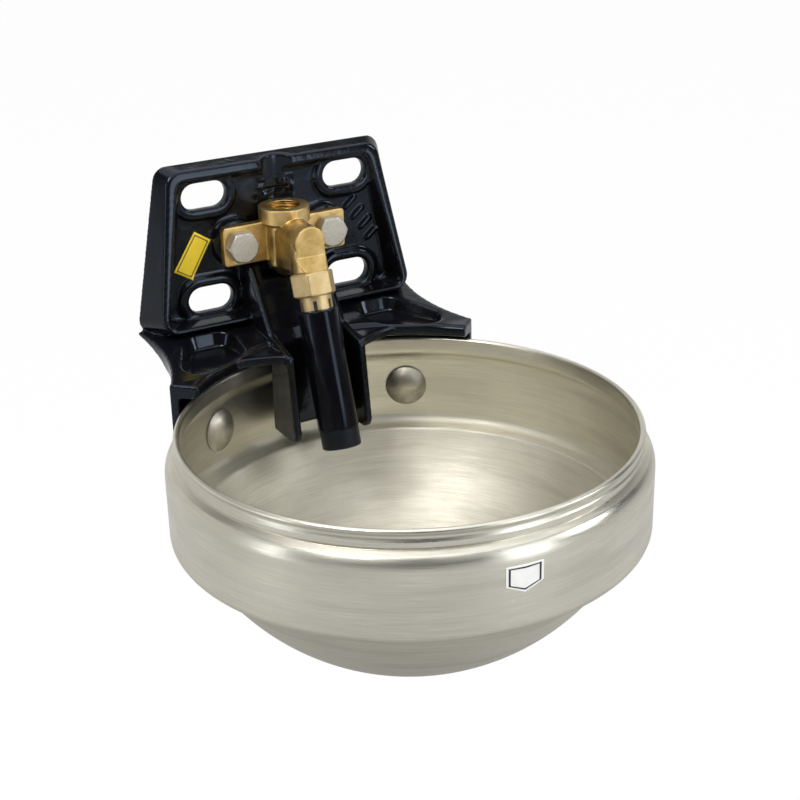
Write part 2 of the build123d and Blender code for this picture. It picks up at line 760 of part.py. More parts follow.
with BuildPart() as valve_body:
    # barrel, cone and collar
    turned(
        barrel_section,
        barrel_axis,
        (
            (0, barrel_bottom_rise - cone_height),
            (cone_tip_r, barrel_bottom_rise - cone_height),
            (barrel_r, barrel_bottom_rise),
            (barrel_r, inlet_top_rise - collar_height - collar_slope_height),
            (collar_r, inlet_top_rise - collar_height),
            (collar_r, inlet_top_rise),
            (0, inlet_top_rise),
        ),
    )
    # ears
    with BuildSketch(wall_plane.offset(-ear_back_y)):
        with Locations((0, rim_z + ear_rise)):
            RectangleRounded(2 * ear_half_length, ear_height, ear_corner_r)
    extrude(amount=ear_thickness)
    # passage from the barrel to the leg
    with BuildSketch(wall_plane.offset(-inlet_y)):
        with Locations((0, passage_z)):
            Circle(passage_r)
    extrude(amount=inlet_y - face_y)
    # web that fills the corner between the barrel, the passage and the leg
    with BuildSketch(side_plane):
        Polygon(
            (inlet_reach, barrel_bottom_rise),
            (inlet_reach, passage_rise),
            (nut_reach + leg_at_passage * sin(lean), passage_rise),
            (nut_reach + web_foot * sin(lean), nut_rise + web_foot * cos(lean)),
            align=None,
        )
    extrude(amount=passage_r, both=True)
    # leg, with its thread inside the nut
    leg_turned(ring_outline(0, leg_r, nut_height / 2, leg_at_passage))
    leg_turned(ring_outline(0, leg_thread_r, leg_end, nut_height / 2))
    # milled front face with a slope below it
    with BuildSketch(side_plane):
        Polygon(
            (face_reach, face_bottom_rise),
            (face_reach, 2 * inlet_top_rise),
            (0, 2 * inlet_top_rise),
            (0, face_bottom_rise - face_reach / tan(radians(face_slope))),
            align=None,
        )
    extrude(amount=2 * leg_r, both=True, mode=Mode.SUBTRACT)
    # waterways
    turned(
        barrel_section,
        barrel_axis,
        (
            (0, well_bottom_rise),
            (well_r, well_bottom_rise),
            (well_r, strainer_seat - thread_play),
            (strainer_flange_r + thread_play, strainer_seat - thread_play),
            (strainer_flange_r + thread_play, inlet_top_rise - inlet_bore_depth),
            (inlet_bore_r, inlet_top_rise - inlet_bore_depth),
            (inlet_bore_r, inlet_top_rise),
            (0, inlet_top_rise),
        ),
        Mode.SUBTRACT,
    )
    with BuildSketch(wall_plane.offset(-inlet_y)):
        with Locations((0, passage_z)):
            Circle(passage_bore_r)
    extrude(amount=inlet_y - passage_end_y, mode=Mode.SUBTRACT)
    leg_turned(ring_outline(0, seat_r, leg_end, seat_top), Mode.SUBTRACT)
    leg_turned(ring_outline(0, chamber_r, leg_end, chamber_top), Mode.SUBTRACT)
    leg_turned(ring_outline(0, leg_bore_r, leg_end, leg_bore_top), Mode.SUBTRACT)
    with BuildSketch(Plane(origin=waterway_foot, x_dir=(1, 0, 0), z_dir=waterway_run)):
        Circle(waterway_r)
    extrude(amount=waterway_run.length, mode=Mode.SUBTRACT)
    # holes for the bolts in the ears
    with BuildSketch(wall_plane.offset(-ear_back_y - cut_past)):
        with Locations((0, rim_z + ear_rise)):
            with GridLocations(valve_bolt_pitch, 0, 2, 1):
                Circle(valve_bolt_d / 2 + bowl_bolt_play)
    extrude(amount=ear_thickness + 2 * cut_past, mode=Mode.SUBTRACT)
finish(valve_body, "valve_body")

with BuildPart() as valve_bolts:
    with BuildSketch(wall_plane.offset(-ear_front_y)):
        with Locations((0, rim_z + ear_rise)):
            with GridLocations(valve_bolt_pitch, 0, 2, 1):
                RegularPolygon(hex_af / 2, 6, major_radius=False)
    extrude(amount=valve_bolt_head)
    with BuildSketch(wall_plane.offset(-ear_front_y)):
        with Locations((0, rim_z + ear_rise)):
            with GridLocations(valve_bolt_pitch, 0, 2, 1):
                Circle(valve_bolt_d / 2 - thread_play)
    extrude(amount=-valve_bolt_length)
finish(valve_bolts, "valve_bolts")

with BuildPart() as union_nut:
    with BuildSketch(leg_plane.offset(-nut_height / 2)):
        RegularPolygon(nut_af / 2, 6, major_radius=False, rotation=nut_turn)
    extrude(amount=nut_height)
    lip_low = nut_mouth_depth - nut_height / 2
    lip_high = lip_low + nut_lip
    leg_turned(ring_outline(0, nut_mouth_r, -nut_height, lip_low), Mode.SUBTRACT)
    leg_turned(ring_outline(0, nut_lip_r, lip_low, lip_high), Mode.SUBTRACT)
    leg_turned(ring_outline(0, nut_cavity_r, lip_high, leg_end), Mode.SUBTRACT)
    leg_turned(ring_outline(0, leg_thread_r + thread_play, leg_end, nut_height), Mode.SUBTRACT)
finish(union_nut, "union_nut")

with BuildPart() as nut_seal:
    leg_turned(
        ring_outline(
            nut_seal_inner_r,
            nut_cavity_r - thread_play,
            leg_end - thread_play - nut_seal_thickness,
            leg_end - thread_play,
        )
    )
finish(nut_seal, "nut_seal")


# ---------------------------------------------------------------- valve inside the leg
seal_low = leg_end + seat_height / 3

with BuildPart() as valve_seat:
    leg_turned(
        ring_outline(seat_bore_r, seat_r - thread_play, leg_end + thread_play, seat_top - thread_play)
    )
    leg_turned(
        ring_outline(seat_r - seat_seal_section, seat_r, seal_low, seal_low + seat_seal_section),
        Mode.SUBTRACT,
    )
finish(valve_seat, "valve_seat")

with BuildPart() as seat_seal:
    leg_turned(
        ring_outline(
            seat_r - seat_seal_section + thread_play,
            seat_r - thread_play,
            seal_low + thread_play,
            seal_low + seat_seal_section - thread_play,
        )
    )
finish(seat_seal, "seat_seal")

disc_low = seat_top
disc_high = disc_low + disc_thickness
stem_flange_low = disc_high + thread_play
spring_low = stem_flange_low + stem_flange_thickness + thread_play
spring_high = spring_low + spring_length
retainer_low = spring_high + thread_play
retainer_high = retainer_low + retainer_thickness
rocker_low = lip_high + thread_play + rocker_ridge
rocker_high = rocker_low + rocker_thickness
flange_low = rocker_high + thread_play
flange_high = flange_low + flange_thickness

with BuildPart() as stem_disc:
    leg_turned(ring_outline(stem_r + thread_play, disc_r, disc_low, disc_high))
finish(stem_disc, "stem_disc")

with BuildPart() as valve_stem:
    leg_turned(ring_outline(0, stem_r, flange_high + stem_gap, retainer_high + stem_guide_length))
    leg_turned(
        ring_outline(0, stem_flange_r, stem_flange_low, stem_flange_low + stem_flange_thickness)
    )
finish(valve_stem, "valve_stem")

spring_coil_r = (stem_r + leg_bore_r) / 2
with BuildPart() as closing_spring:
    coil_low = spring_low + spring_wire_r
    coil_rise = spring_length - 2 * spring_wire_r
    with BuildLine() as coil:
        Helix(
            pitch=coil_rise / spring_turns,
            height=coil_rise,
            radius=spring_coil_r,
            center=leg_plane.offset(coil_low).origin,
            direction=leg_up,
        )
    with BuildSketch(Plane(origin=coil.line @ 0, z_dir=coil.line % 0)):
        Circle(spring_wire_r)
    sweep(path=coil.line)
finish(closing_spring, "closing_spring")

with BuildPart() as spring_retainer:
    leg_turned(
        ring_outline(stem_r + thread_play, leg_bore_r - thread_play, retainer_low, retainer_high)
    )
    with BuildSketch(leg_plane.offset(retainer_low)):
        with PolarLocations(spring_coil_r, retainer_holes):
            Circle(retainer_hole_r)
    extrude(amount=retainer_thickness, mode=Mode.SUBTRACT)
finish(spring_retainer, "spring_retainer")


# ---------------------------------------------------------------- rocking tube
rocker_ridge_axis = Plane(
    origin=leg_plane.offset(rocker_low).origin, x_dir=(1, 0, 0), z_dir=leg_section.z_dir
)
with BuildPart() as rocker_ring:
    with BuildSketch(rocker_ridge_axis):
        Circle(rocker_ridge)
    extrude(amount=rocker_r, both=True)
    leg_turned(ring_outline(0, rocker_r, rocker_low - rocker_ridge, rocker_high), Mode.INTERSECT)
    leg_turned(ring_outline(rocker_bore_r, rocker_r, rocker_low, rocker_high))
    leg_turned(
        ring_outline(0, nut_lip_r + thread_play, rocker_low - 2 * rocker_ridge, rocker_low),
        Mode.SUBTRACT,
    )
    leg_turned(ring_outline(0, rocker_bore_r, rocker_low, rocker_high), Mode.SUBTRACT)
finish(rocker_ring, "rocker_ring")

with BuildPart() as tube_sleeve:
    leg_turned(ring_outline(0, flange_r, flange_low, flange_high))
    leg_turned(ring_outline(sleeve_bore_r, sleeve_neck_r, sleeve_top, flange_low))
    leg_turned(ring_outline(sleeve_bore_r, sleeve_r, sleeve_bottom, sleeve_top))
    with BuildSketch(leg_plane.offset(flange_low)):
        with PolarLocations(sleeve_port_spread_r, sleeve_ports):
            Circle(sleeve_port_r)
    extrude(amount=flange_thickness, mode=Mode.SUBTRACT)
finish(tube_sleeve, "tube_sleeve")

with BuildPart() as tube_ferrule:
    leg_turned(ring_outline(sleeve_r + thread_play, ferrule_r, tube_top + thread_play, sleeve_top))
    with BuildSketch(leg_plane.offset(tube_top + thread_play)):
        with PolarLocations(ferrule_r, ferrule_slots):
            Rectangle(2 * cut_past, ferrule_slot_width)
    extrude(amount=ferrule_slot_depth, mode=Mode.SUBTRACT)
finish(tube_ferrule, "tube_ferrule")

with BuildPart() as drinking_tube:
    leg_turned(
        (
            (sleeve_r + thread_play, sleeve_bottom - thread_play),
            (sleeve_r + thread_play, tube_top),
            (tube_top_r, tube_top),
            (tube_bottom_r, tube_bottom),
            (tube_bore_r, tube_bottom),
            (tube_bore_r, sleeve_bottom - thread_play),
        )
    )
finish(drinking_tube, "drinking_tube")

with BuildPart() as tube_bumper:
    bumper_top = tube_bottom - thread_play
    leg_turned(ring_outline(bumper_bore_r, bumper_r, bumper_top - bumper_height, bumper_top))
    leg_turned(
        ring_outline(
            bumper_bore_r, tube_bore_r - thread_play, bumper_top, bumper_top + bumper_neck_height
        )
    )
finish(tube_bumper, "tube_bumper")


# ---------------------------------------------------------------- strainer in the inlet
with BuildPart() as inlet_strainer:
    turned(
        barrel_section,
        barrel_axis,
        (
            (0, strainer_seat - strainer_depth),
            (strainer_r, strainer_seat - strainer_depth),
            (strainer_r, strainer_seat),
            (strainer_flange_r, strainer_seat),
            (strainer_flange_r, strainer_seat + strainer_wall),
            (strainer_r - strainer_wall, strainer_seat + strainer_wall),
            (strainer_r - strainer_wall, strainer_seat - strainer_depth + strainer_wall),
            (0, strainer_seat - strainer_depth + strainer_wall),
        ),
    )
finish(inlet_strainer, "inlet_strainer")
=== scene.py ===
from math import asin, atan2, cos, hypot, pi, radians, sin, sqrt, tan, tau

import bmesh
import bpy
from mathutils import Matrix, Vector, noise
from mathutils.bvhtree import BVHTree


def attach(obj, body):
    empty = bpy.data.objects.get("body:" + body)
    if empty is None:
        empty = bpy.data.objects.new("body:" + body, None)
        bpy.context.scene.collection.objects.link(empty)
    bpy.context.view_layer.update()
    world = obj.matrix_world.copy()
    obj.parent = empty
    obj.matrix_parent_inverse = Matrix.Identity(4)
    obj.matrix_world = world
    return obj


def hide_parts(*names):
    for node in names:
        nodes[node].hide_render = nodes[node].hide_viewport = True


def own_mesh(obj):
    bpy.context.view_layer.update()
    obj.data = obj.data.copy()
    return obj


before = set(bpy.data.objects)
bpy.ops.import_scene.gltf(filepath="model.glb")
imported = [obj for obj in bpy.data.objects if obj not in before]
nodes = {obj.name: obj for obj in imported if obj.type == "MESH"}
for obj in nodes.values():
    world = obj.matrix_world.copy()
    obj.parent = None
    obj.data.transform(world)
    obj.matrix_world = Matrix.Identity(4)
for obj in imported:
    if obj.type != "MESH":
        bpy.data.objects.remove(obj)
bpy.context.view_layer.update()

MM = 0.001

# ---------------------------------------------------------------- where things are, in mm
BOWL_Y = -160.0              # bowl axis, ahead of the wall
RIM_Z = -62.4                # bowl rim, below the wall slots
INLET_Y = -18.0              # axis of the inlet collar
COLLAR_TOP = 20.9
EAR_Z = 1.0
EAR_FRONT_Y = -18.5
VALVE_BOLT_X = 28.7
BOWL_BOLT_TURN = radians(29.0)             # each way round the bowl from its back
BOWL_BOLT_DROP = 33.8        # below the rim
HEAD_SEAT_R = 127.66         # bolt heads rest on the bowl here, off its axis
NUT_SEAT_R = 136.75
LEG_LEAN = radians(17.5)
LEG_FOOT = Vector((0.0, -52.2, -17.7))     # middle of the union nut
LEG_UP = Vector((0.0, sin(LEG_LEAN), cos(LEG_LEAN)))
ACROSS = Vector((1.0, 0.0, 0.0))
BACKWARD = Vector((0.0, 1.0, 0.0))         # towards the wall
UPRIGHT = Vector((0.0, 0.0, 1.0))

# ---------------------------------------------------------------- shared sizes, in mm
HEX_AF = 17.0                # flats of the M10 bolts and nuts
BOLT_R = 5.0
HEX_OUT = 9.9                # outlines of M10 hexagons reach past their corners
CHAMFER = radians(30.0)      # cone that bevels hexagon ends
CONE_START = 0.96            # the cone meets the end face here, in halves of the flats
CORNER_CUT = 1.14            # corners are turned down to this, in halves of the flats
FILM_THICKNESS = 0.22
FILM_LIFT = 0.3              # middle of a film above the surface that carries it
INK_LIFT = 0.42
THROW = 50.0                 # a film's rays start this far in front of its spots


# ---------------------------------------------------------------- camera, floor, light
def look(azimuth, elevation, roll):
    """Axes of a camera at an azimuth and elevation, turned by a roll about its view."""
    a, e, t = radians(azimuth), radians(elevation), radians(roll)
    back = Vector((sin(a) * cos(e), -cos(a) * cos(e), sin(e)))
    right = Vector((cos(a), sin(a), 0.0))
    up = back.cross(right)
    return cos(t) * right + sin(t) * up, cos(t) * up - sin(t) * right, back


# the camera's direction in degrees, its place in m, and its lens and sensor in mm
VIEW_AZIMUTH, VIEW_ELEVATION, VIEW_ROLL = -29.28, 23.33, -1.30
VIEW_PLACE = (-0.36897, -0.80896, 0.27105)
VIEW_LENS, VIEW_SENSOR = 69.66, 36.0


def set_camera():
    right, up, back = look(VIEW_AZIMUTH, VIEW_ELEVATION, VIEW_ROLL)
    turn = Matrix((right, up, back)).transposed().to_4x4()
    lens = bpy.data.cameras.new("view_camera")
    lens.sensor_width = VIEW_SENSOR
    lens.lens = VIEW_LENS
    lens.clip_start = 0.01
    lens.clip_end = 50.0
    camera = bpy.data.objects.new("view_camera", lens)
    bpy.context.scene.collection.objects.link(camera)
    camera.matrix_world = Matrix.Translation(VIEW_PLACE) @ turn
    bpy.context.scene.camera = camera


LAMP_AIM = Vector((0.0, -0.12, -0.05))     # every lamp faces the middle of the object, in m
PLAIN, WARM, COOL = (1.0, 1.0, 1.0), (1.0, 0.98, 0.95), (0.92, 0.96, 1.0)


def lamp(name, place, size, energy, colour):
    """A soft rectangular lamp at a place in m, with its size in m and energy in W."""
    data = bpy.data.lights.new(name, "AREA")
    data.shape = "RECTANGLE"
    data.size, data.size_y = size
    data.energy = energy
    data.color = colour
    lit = bpy.data.objects.new(name, data)
    lit.location = place
    lit.rotation_euler = (Vector(place) - LAMP_AIM).to_track_quat("Z", "Y").to_euler()
    bpy.context.scene.collection.objects.link(lit)


def set_lamps():
    lamp("key_softbox", (-1.1, -0.6, 1.5), (0.75, 0.6), 14.0, WARM)
    lamp("tall_strip", (0.50, -1.55, 0.25), (0.45, 1.2), 6.0, COOL)
    lamp("left_strip", (-1.50, -0.15, 0.15), (0.30, 1.2), 3.0, COOL)
    lamp("right_softbox", (1.25, -1.1, 0.6), (0.5, 0.5), 6.0, (0.96, 0.98, 1.0))
    lamp("top_softbox", (0.10, -0.2, 1.9), (3.6, 2.8), 44.0, PLAIN)


class Tree:
    """Lays nodes in a node tree and joins them."""

    def __init__(self, tree):
        self.tree = tree
        tree.nodes.clear()

    def add(self, kind, inputs=(), **settings):
        node = self.tree.nodes.new("ShaderNode" + kind)
        for name, value in settings.items():
            setattr(node, name, value)
        for name, value in dict(inputs).items():
            self.join(value, node.inputs[name])
        return node

    def join(self, value, socket):
        if isinstance(value, bpy.types.NodeSocket):
            self.tree.links.new(value, socket)
        elif isinstance(value, bpy.types.Node):
            self.tree.links.new(value.outputs[0], socket)
        else:
            socket.default_value = value

    def math(self, operation, a, b=0.0, clamp=False):
        node = self.add("Math", {0: a, 1: b}, operation=operation)
        node.use_clamp = clamp
        return node.outputs[0]

    def ramp(self, value, low, high, out_low=0.0, out_high=1.0):
        node = self.add(
            "MapRange",
            {
                "Value": value,
                "From Min": low,
                "From Max": high,
                "To Min": out_low,
                "To Max": out_high,
            },
            interpolation_type="SMOOTHSTEP",
        )
        return node.outputs[0]

    def mix(self, factor, a, b):
        """A mix of two colours; a Mix node keeps its colours on sockets 6 and 7."""
        node = self.add("Mix", data_type="RGBA")
        self.join(factor, node.inputs[0])
        self.join(a, node.inputs[6])
        self.join(b, node.inputs[7])
        return node.outputs[2]

    def noise(self, vector, scale, detail, roughness):
        node = self.add(
            "TexNoise", {"Vector": vector, "Scale": scale, "Detail": detail, "Roughness": roughness}
        )
        return node.outputs[0]

    def seen_directly(self, path):
        """1 for a ray from the camera, also through clear things."""
        camera, through = path.outputs["Is Camera Ray"], path.outputs["Is Transmission Ray"]
        return self.math("MAXIMUM", camera, through)

    def length(self, x, y):
        """The square root of x squared plus y squared."""
        squares = self.math("ADD", self.math("MULTIPLY", x, x), self.math("MULTIPLY", y, y))
        return self.math("SQRT", squares)


def rgb(r, g, b):
    return (r, g, b, 1.0)


WHITE = rgb(1.0, 1.0, 1.0)
MIRRORED_WHITE = rgb(0.72, 0.72, 0.70)     # what metal sees of the ground and the backdrop
ROOM_LEFT, ROOM_RIGHT = rgb(0.075, 0.08, 0.09), rgb(0.045, 0.05, 0.06)
SOFT_LIGHT = rgb(0.52, 0.52, 0.53)
# where, in parts of a direction of length 1, each fades in: (none, full)
GROUND_EDGE = (0.10, -0.12)
BACKDROP_SIDES, BACKDROP_TOP = (0.0, 0.5), (0.75, 0.40)
ROOM_ACROSS = (-0.9, 0.9)


def set_world():
    """White all round to the eye; metal sees a white ground and backdrop, and a dim room above."""
    world = bpy.data.worlds.new("studio")
    bpy.context.scene.world = world
    world.use_nodes = True
    t = Tree(world.node_tree)
    path = t.add("LightPath")
    aim = t.add("SeparateXYZ", {0: t.add("TexCoord").outputs["Generated"]}).outputs
    ground = t.ramp(aim["Z"], *GROUND_EDGE)
    sides, top = t.ramp(aim["Y"], *BACKDROP_SIDES), t.ramp(aim["Z"], *BACKDROP_TOP)
    backdrop = t.math("MULTIPLY", sides, top)
    room = t.mix(t.ramp(aim["X"], *ROOM_ACROSS), ROOM_LEFT, ROOM_RIGHT)
    mirrored = t.mix(t.math("MAXIMUM", ground, backdrop), room, MIRRORED_WHITE)
    unseen = t.mix(path.outputs["Is Glossy Ray"], SOFT_LIGHT, mirrored)
    colour = t.mix(t.seen_directly(path), unseen, WHITE)
    shown = t.add("Background", {"Color": colour, "Strength": 1.0})
    t.join(shown, t.add("OutputWorld").inputs["Surface"])


# the floor's half width and height, in m
FLOOR_REACH, FLOOR_Z = 6.0, -0.62
# in mirrors the ground glows less under the bowl, a painted shadow: (distance from its axis in m,
# strength)
PAINTED_SHADOW_START, PAINTED_SHADOW_END = (0.15, 0.38), (1.0, 0.68)
PAPER = rgb(0.82, 0.82, 0.81)
PAPER_SHARE = 0.03           # what stays of the paper, and so of its shadow, when it is seen


def set_floor():
    """A wide pale floor well below the hung bowl; seen directly it is white, with its shadow."""
    mesh = bpy.data.meshes.new("studio_floor")
    signs = ((-1, -1), (1, -1), (1, 1), (-1, 1))
    mesh.from_pydata([(x * FLOOR_REACH, y * FLOOR_REACH, FLOOR_Z) for x, y in signs], [], [(0, 1, 2, 3)])
    floor = bpy.data.objects.new("studio_floor", mesh)
    bpy.context.scene.collection.objects.link(floor)
    studio_white = bpy.data.materials.new("studio_white")
    studio_white.use_nodes = True
    t = Tree(studio_white.node_tree)
    path = t.add("LightPath")
    seen = t.seen_directly(path)
    mirrored = path.outputs["Is Glossy Ray"]
    spot = t.add("SeparateXYZ", {0: t.add("TexCoord").outputs["Object"]}).outputs
    reach = t.length(spot["X"], t.math("SUBTRACT", spot["Y"], BOWL_Y * MM))
    # painted shadow: the ground's glow in mirrors is turned down near the bowl's axis
    painted_shadow = t.ramp(reach, PAINTED_SHADOW_START[0], PAINTED_SHADOW_END[0], PAINTED_SHADOW_START[1], PAINTED_SHADOW_END[1])
    strength = t.math("MAXIMUM", seen, t.math("MULTIPLY", mirrored, painted_shadow))
    glow = t.add("Emission", {"Color": WHITE, "Strength": strength})
    paper = t.add("BsdfDiffuse", {"Color": PAPER})
    glow_share = t.math("MULTIPLY", t.math("MAXIMUM", seen, mirrored), 1.0 - PAPER_SHARE)
    both = t.add("MixShader", {"Fac": glow_share})
    t.join(paper, both.inputs[1])
    t.join(glow, both.inputs[2])
    t.join(both, t.add("OutputMaterial").inputs["Surface"])
    mesh.materials.append(studio_white)


# ---------------------------------------------------------------- shared effects
FLOAT = "NodeSocketFloat"


def new_group(name, inputs, outputs):
    """A shader node group with named sockets, the Tree that fills it, and its two ends."""
    made = bpy.data.node_groups.new(name, "ShaderNodeTree")
    for label, value in inputs.items():
        socket = made.interface.new_socket(name=label, in_out="INPUT", socket_type=FLOAT)
        socket.default_value = value
    for label in outputs:
        made.interface.new_socket(name=label, in_out="OUTPUT", socket_type=FLOAT)
    t = Tree(made)
    source = made.nodes.new("NodeGroupInput")
    sink = made.nodes.new("NodeGroupOutput")
    return made, t, source.outputs, sink.inputs


def build_edge_wear():
    """A mask of sharp edges, broken up as if rubbed."""
    made, t, given, out = new_group(
        "Edge wear", {"Reach": 0.001, "Breakup": 400.0, "Amount": 1.0}, ["Mask"]
    )
    bevelled = t.add("Bevel", {"Radius": given["Reach"]}, samples=4)
    plain = t.add("NewGeometry").outputs["Normal"]
    turn = t.add("VectorMath", {0: bevelled.outputs[0], 1: plain}, operation="DOT_PRODUCT")
    edge = t.ramp(turn.outputs["Value"], 0.995, 0.90)
    spots = t.noise(t.add("TexCoord").outputs["Object"], given["Breakup"], 3.0, 0.6)
    broken = t.math("MULTIPLY", edge, t.ramp(spots, 0.35, 0.62))
    t.join(t.math("MULTIPLY", broken, given["Amount"], clamp=True), out["Mask"])
    return made


MOTTLE_SCALE = 0.3           # mottling against the coarse grain


def build_cast_grain():
    """Two grains in one height, and wide mottling."""
    made, t, given, out = new_group(
        "Cast grain",
        {"Coarse scale": 150.0, "Fine scale": 900.0, "Fine share": 0.3},
        ["Height", "Mottle"],
    )
    place = t.add("TexCoord").outputs["Object"]
    height = t.add("Mix", data_type="FLOAT")
    t.join(given["Fine share"], height.inputs[0])
    t.join(t.noise(place, given["Coarse scale"], 3.0, 0.5), height.inputs[2])
    t.join(t.noise(place, given["Fine scale"], 3.0, 0.6), height.inputs[3])
    t.join(height.outputs[0], out["Height"])
    mottle_scale = t.math("MULTIPLY", given["Coarse scale"], MOTTLE_SCALE)
    t.join(t.noise(place, mottle_scale, 4.0, 0.6), out["Mottle"])
    return made


ALONG_FLOOR = 0.83           # how fast the rings run on across a level floor
BAND_STRETCH, BANDS_PER_METRE = 0.3, 120.0


def build_turned_lines():
    """Fine rings left by a tool that ran round an upright axis in the middle plane."""
    made, t, given, out = new_group(
        "Turned lines",
        {"Axis Y": 0.0, "Lines per metre": 2500.0, "Length": 6.0},
        ["Height", "Streak", "Band"],
    )
    place = t.add("SeparateXYZ", {0: t.add("TexCoord").outputs["Object"]}).outputs
    x, y = place["X"], t.math("SUBTRACT", place["Y"], given["Axis Y"])
    turn = t.math("ARCTAN2", y, x)
    # distance along the section, so that walls and floors both get rings
    along = t.math("ADD", t.math("MULTIPLY", t.length(x, y), ALONG_FLOOR), place["Z"])
    round_x = t.math("MULTIPLY", t.math("COSINE", turn), given["Length"])
    round_y = t.math("MULTIPLY", t.math("SINE", turn), given["Length"])
    rings = t.math("MULTIPLY", along, given["Lines per metre"])
    spot = t.add("CombineXYZ", {"X": round_x, "Y": round_y, "Z": rings})
    lines = t.noise(spot, 1.0, 3.0, 0.6)
    wide = t.add(
        "CombineXYZ",
        {
            "X": t.math("MULTIPLY", round_x, BAND_STRETCH),
            "Y": t.math("MULTIPLY", round_y, BAND_STRETCH),
            "Z": t.math("MULTIPLY", along, BANDS_PER_METRE),
        },
    )
    t.join(lines, out["Height"])
    t.join(t.ramp(lines, 0.35, 0.65), out["Streak"])
    t.join(t.noise(wide, 1.0, 2.0, 0.5), out["Band"])
    return made


def build_smudge():
    """A value that wanders between two ends, in clouds."""
    made, t, given, out = new_group("Smudge", {"Scale": 30.0, "Low": 0.0, "High": 1.0}, ["Value"])
    cloud = t.noise(t.add("TexCoord").outputs["Object"], given["Scale"], 5.0, 0.6)
    value = t.add(
        "MapRange",
        {
            "Value": cloud,
            "From Min": 0.3,
            "From Max": 0.7,
            "To Min": given["Low"],
            "To Max": given["High"],
        },
    )
    t.join(value.outputs[0], out["Value"])
    return made


EFFECTS = {
    "Edge wear": build_edge_wear(),
    "Cast grain": build_cast_grain(),
    "Turned lines": build_turned_lines(),
    "Smudge": build_smudge(),
}


def effect(t, name, **values):
    """Places a shared effect in a material and sets its inputs."""
    node = t.tree.nodes.new("ShaderNodeGroup")
    node.node_tree = EFFECTS[name]
    for label, value in values.items():
        t.join(value, node.inputs[label.replace("_", " ")])
    return node.outputs


def material(name, **constants):
    """A new material with one Principled shader; the constants go on the shader's own sockets."""
    made = bpy.data.materials.new(name)
    made.use_nodes = True
    t = Tree(made.node_tree)
    shader = t.add("BsdfPrincipled")
    t.join(shader, t.add("OutputMaterial").inputs["Surface"])
    for label, value in constants.items():
        shader.inputs[label.replace("_", " ")].default_value = value
    return made, t, shader.inputs


def smudged(t, scale, span):
    """A smudge's value, at a scale, between the two ends of a span."""
    return effect(t, "Smudge", Scale=scale, Low=span[0], High=span[1])["Value"]


def relief(t, height, distance, strength):
    """A normal from a height, in m."""
    return t.add("Bump", {"Height": height, "Distance": distance, "Strength": strength})


# ---------------------------------------------------------------- materials
SKY_TINT = rgb(0.66, 0.80, 1.0)            # black gloss throws back a cool highlight


def enamel_material():
    """Near-black gloss enamel over a grey casting."""
    made, t, socket = material("black_enamel", Specular_IOR_Level=0.36, Specular_Tint=SKY_TINT)
    grain = effect(t, "Cast grain", Coarse_scale=120.0, Fine_scale=420.0, Fine_share=0.2)
    warm, cool = rgb(0.0034, 0.0030, 0.0032), rgb(0.0044, 0.0050, 0.0080)
    t.join(t.mix(t.ramp(grain["Mottle"], 0.35, 0.7), warm, cool), socket["Base Color"])
    t.join(smudged(t, 45.0, (0.09, 0.19)), socket["Roughness"])
    t.join(relief(t, grain["Height"], distance=0.0005, strength=0.5), socket["Normal"])
    return made


# how far streaks, bands and clouds shade the steel, and what a streak adds to its roughness
STREAK_SHARE, BAND_SHARE, CLOUD_SHARE, STREAK_ROUGHER = 0.45, 0.6, 0.35, 0.08


def steel_material(name, tint, shade, rough, lines, stretch, axis_y):
    """Stainless steel with fine rings round an upright axis; its roughness is left to be joined."""
    made, t, socket = material(name, Metallic=1.0, Anisotropic=stretch, Anisotropic_Rotation=0.25)
    t.join(t.add("Tangent", direction_type="RADIAL", axis="Z"), socket["Tangent"])
    rings = effect(t, "Turned lines", Axis_Y=axis_y, Lines_per_metre=lines, Length=5.0)
    cloud = smudged(t, 16.0, (0.0, 1.0))
    tint, shade = rgb(*tint), rgb(*shade)
    streaked = t.mix(t.math("MULTIPLY", rings["Streak"], STREAK_SHARE), tint, shade)
    band = t.math("MULTIPLY", t.ramp(rings["Band"], 0.4, 0.75), BAND_SHARE)
    banded = t.mix(band, streaked, shade)
    t.join(t.mix(t.math("MULTIPLY", cloud, CLOUD_SHARE), banded, shade), socket["Base Color"])
    low, high = rough
    streaks = t.math("ADD", t.math("MULTIPLY", rings["Streak"], STREAK_ROUGHER), low)
    roughness = t.math("ADD", streaks, t.math("MULTIPLY", cloud, high - low))
    t.join(relief(t, rings["Height"], distance=0.00012, strength=0.6), socket["Normal"])
    return made, t, socket, roughness


# the bowl is duller from the foot of its band down: levels in m, and the roughness this adds
DULL_START, DULL_END, DULLER = -0.108, -0.120, 0.24


def sheet_steel_material():
    """Drawn stainless sheet, brushed round the bowl."""
    made, t, socket, roughness = steel_material(
        "brushed_sheet_steel",
        tint=(0.80, 0.772, 0.67),
        shade=(0.56, 0.535, 0.455),
        rough=(0.25, 0.36),
        lines=2600.0,
        stretch=0.30,
        axis_y=BOWL_Y * MM,
    )
    height = t.add("SeparateXYZ", {0: t.add("TexCoord").outputs["Object"]}).outputs["Z"]
    dull = t.ramp(height, DULL_START, DULL_END, 0.0, DULLER)
    t.join(t.math("ADD", roughness, dull), socket["Roughness"])
    return made


def shade_painted_steel_material():
    """Turned stainless steel inside the valve, painted dark as painted shade, as no light reaches it."""
    made, t, socket, roughness = steel_material(
        "turned_stainless",
        # painted shade: both colours are far darker than bare steel
        tint=(0.22, 0.21, 0.19),
        shade=(0.12, 0.11, 0.10),
        rough=(0.22, 0.32),
        lines=4000.0,
        stretch=0.0,
        axis_y=-0.055,
    )
    t.join(roughness, socket["Roughness"])
    return made


WEAR_BRIGHTER = 1.2          # worn brass edges against the metal beside them


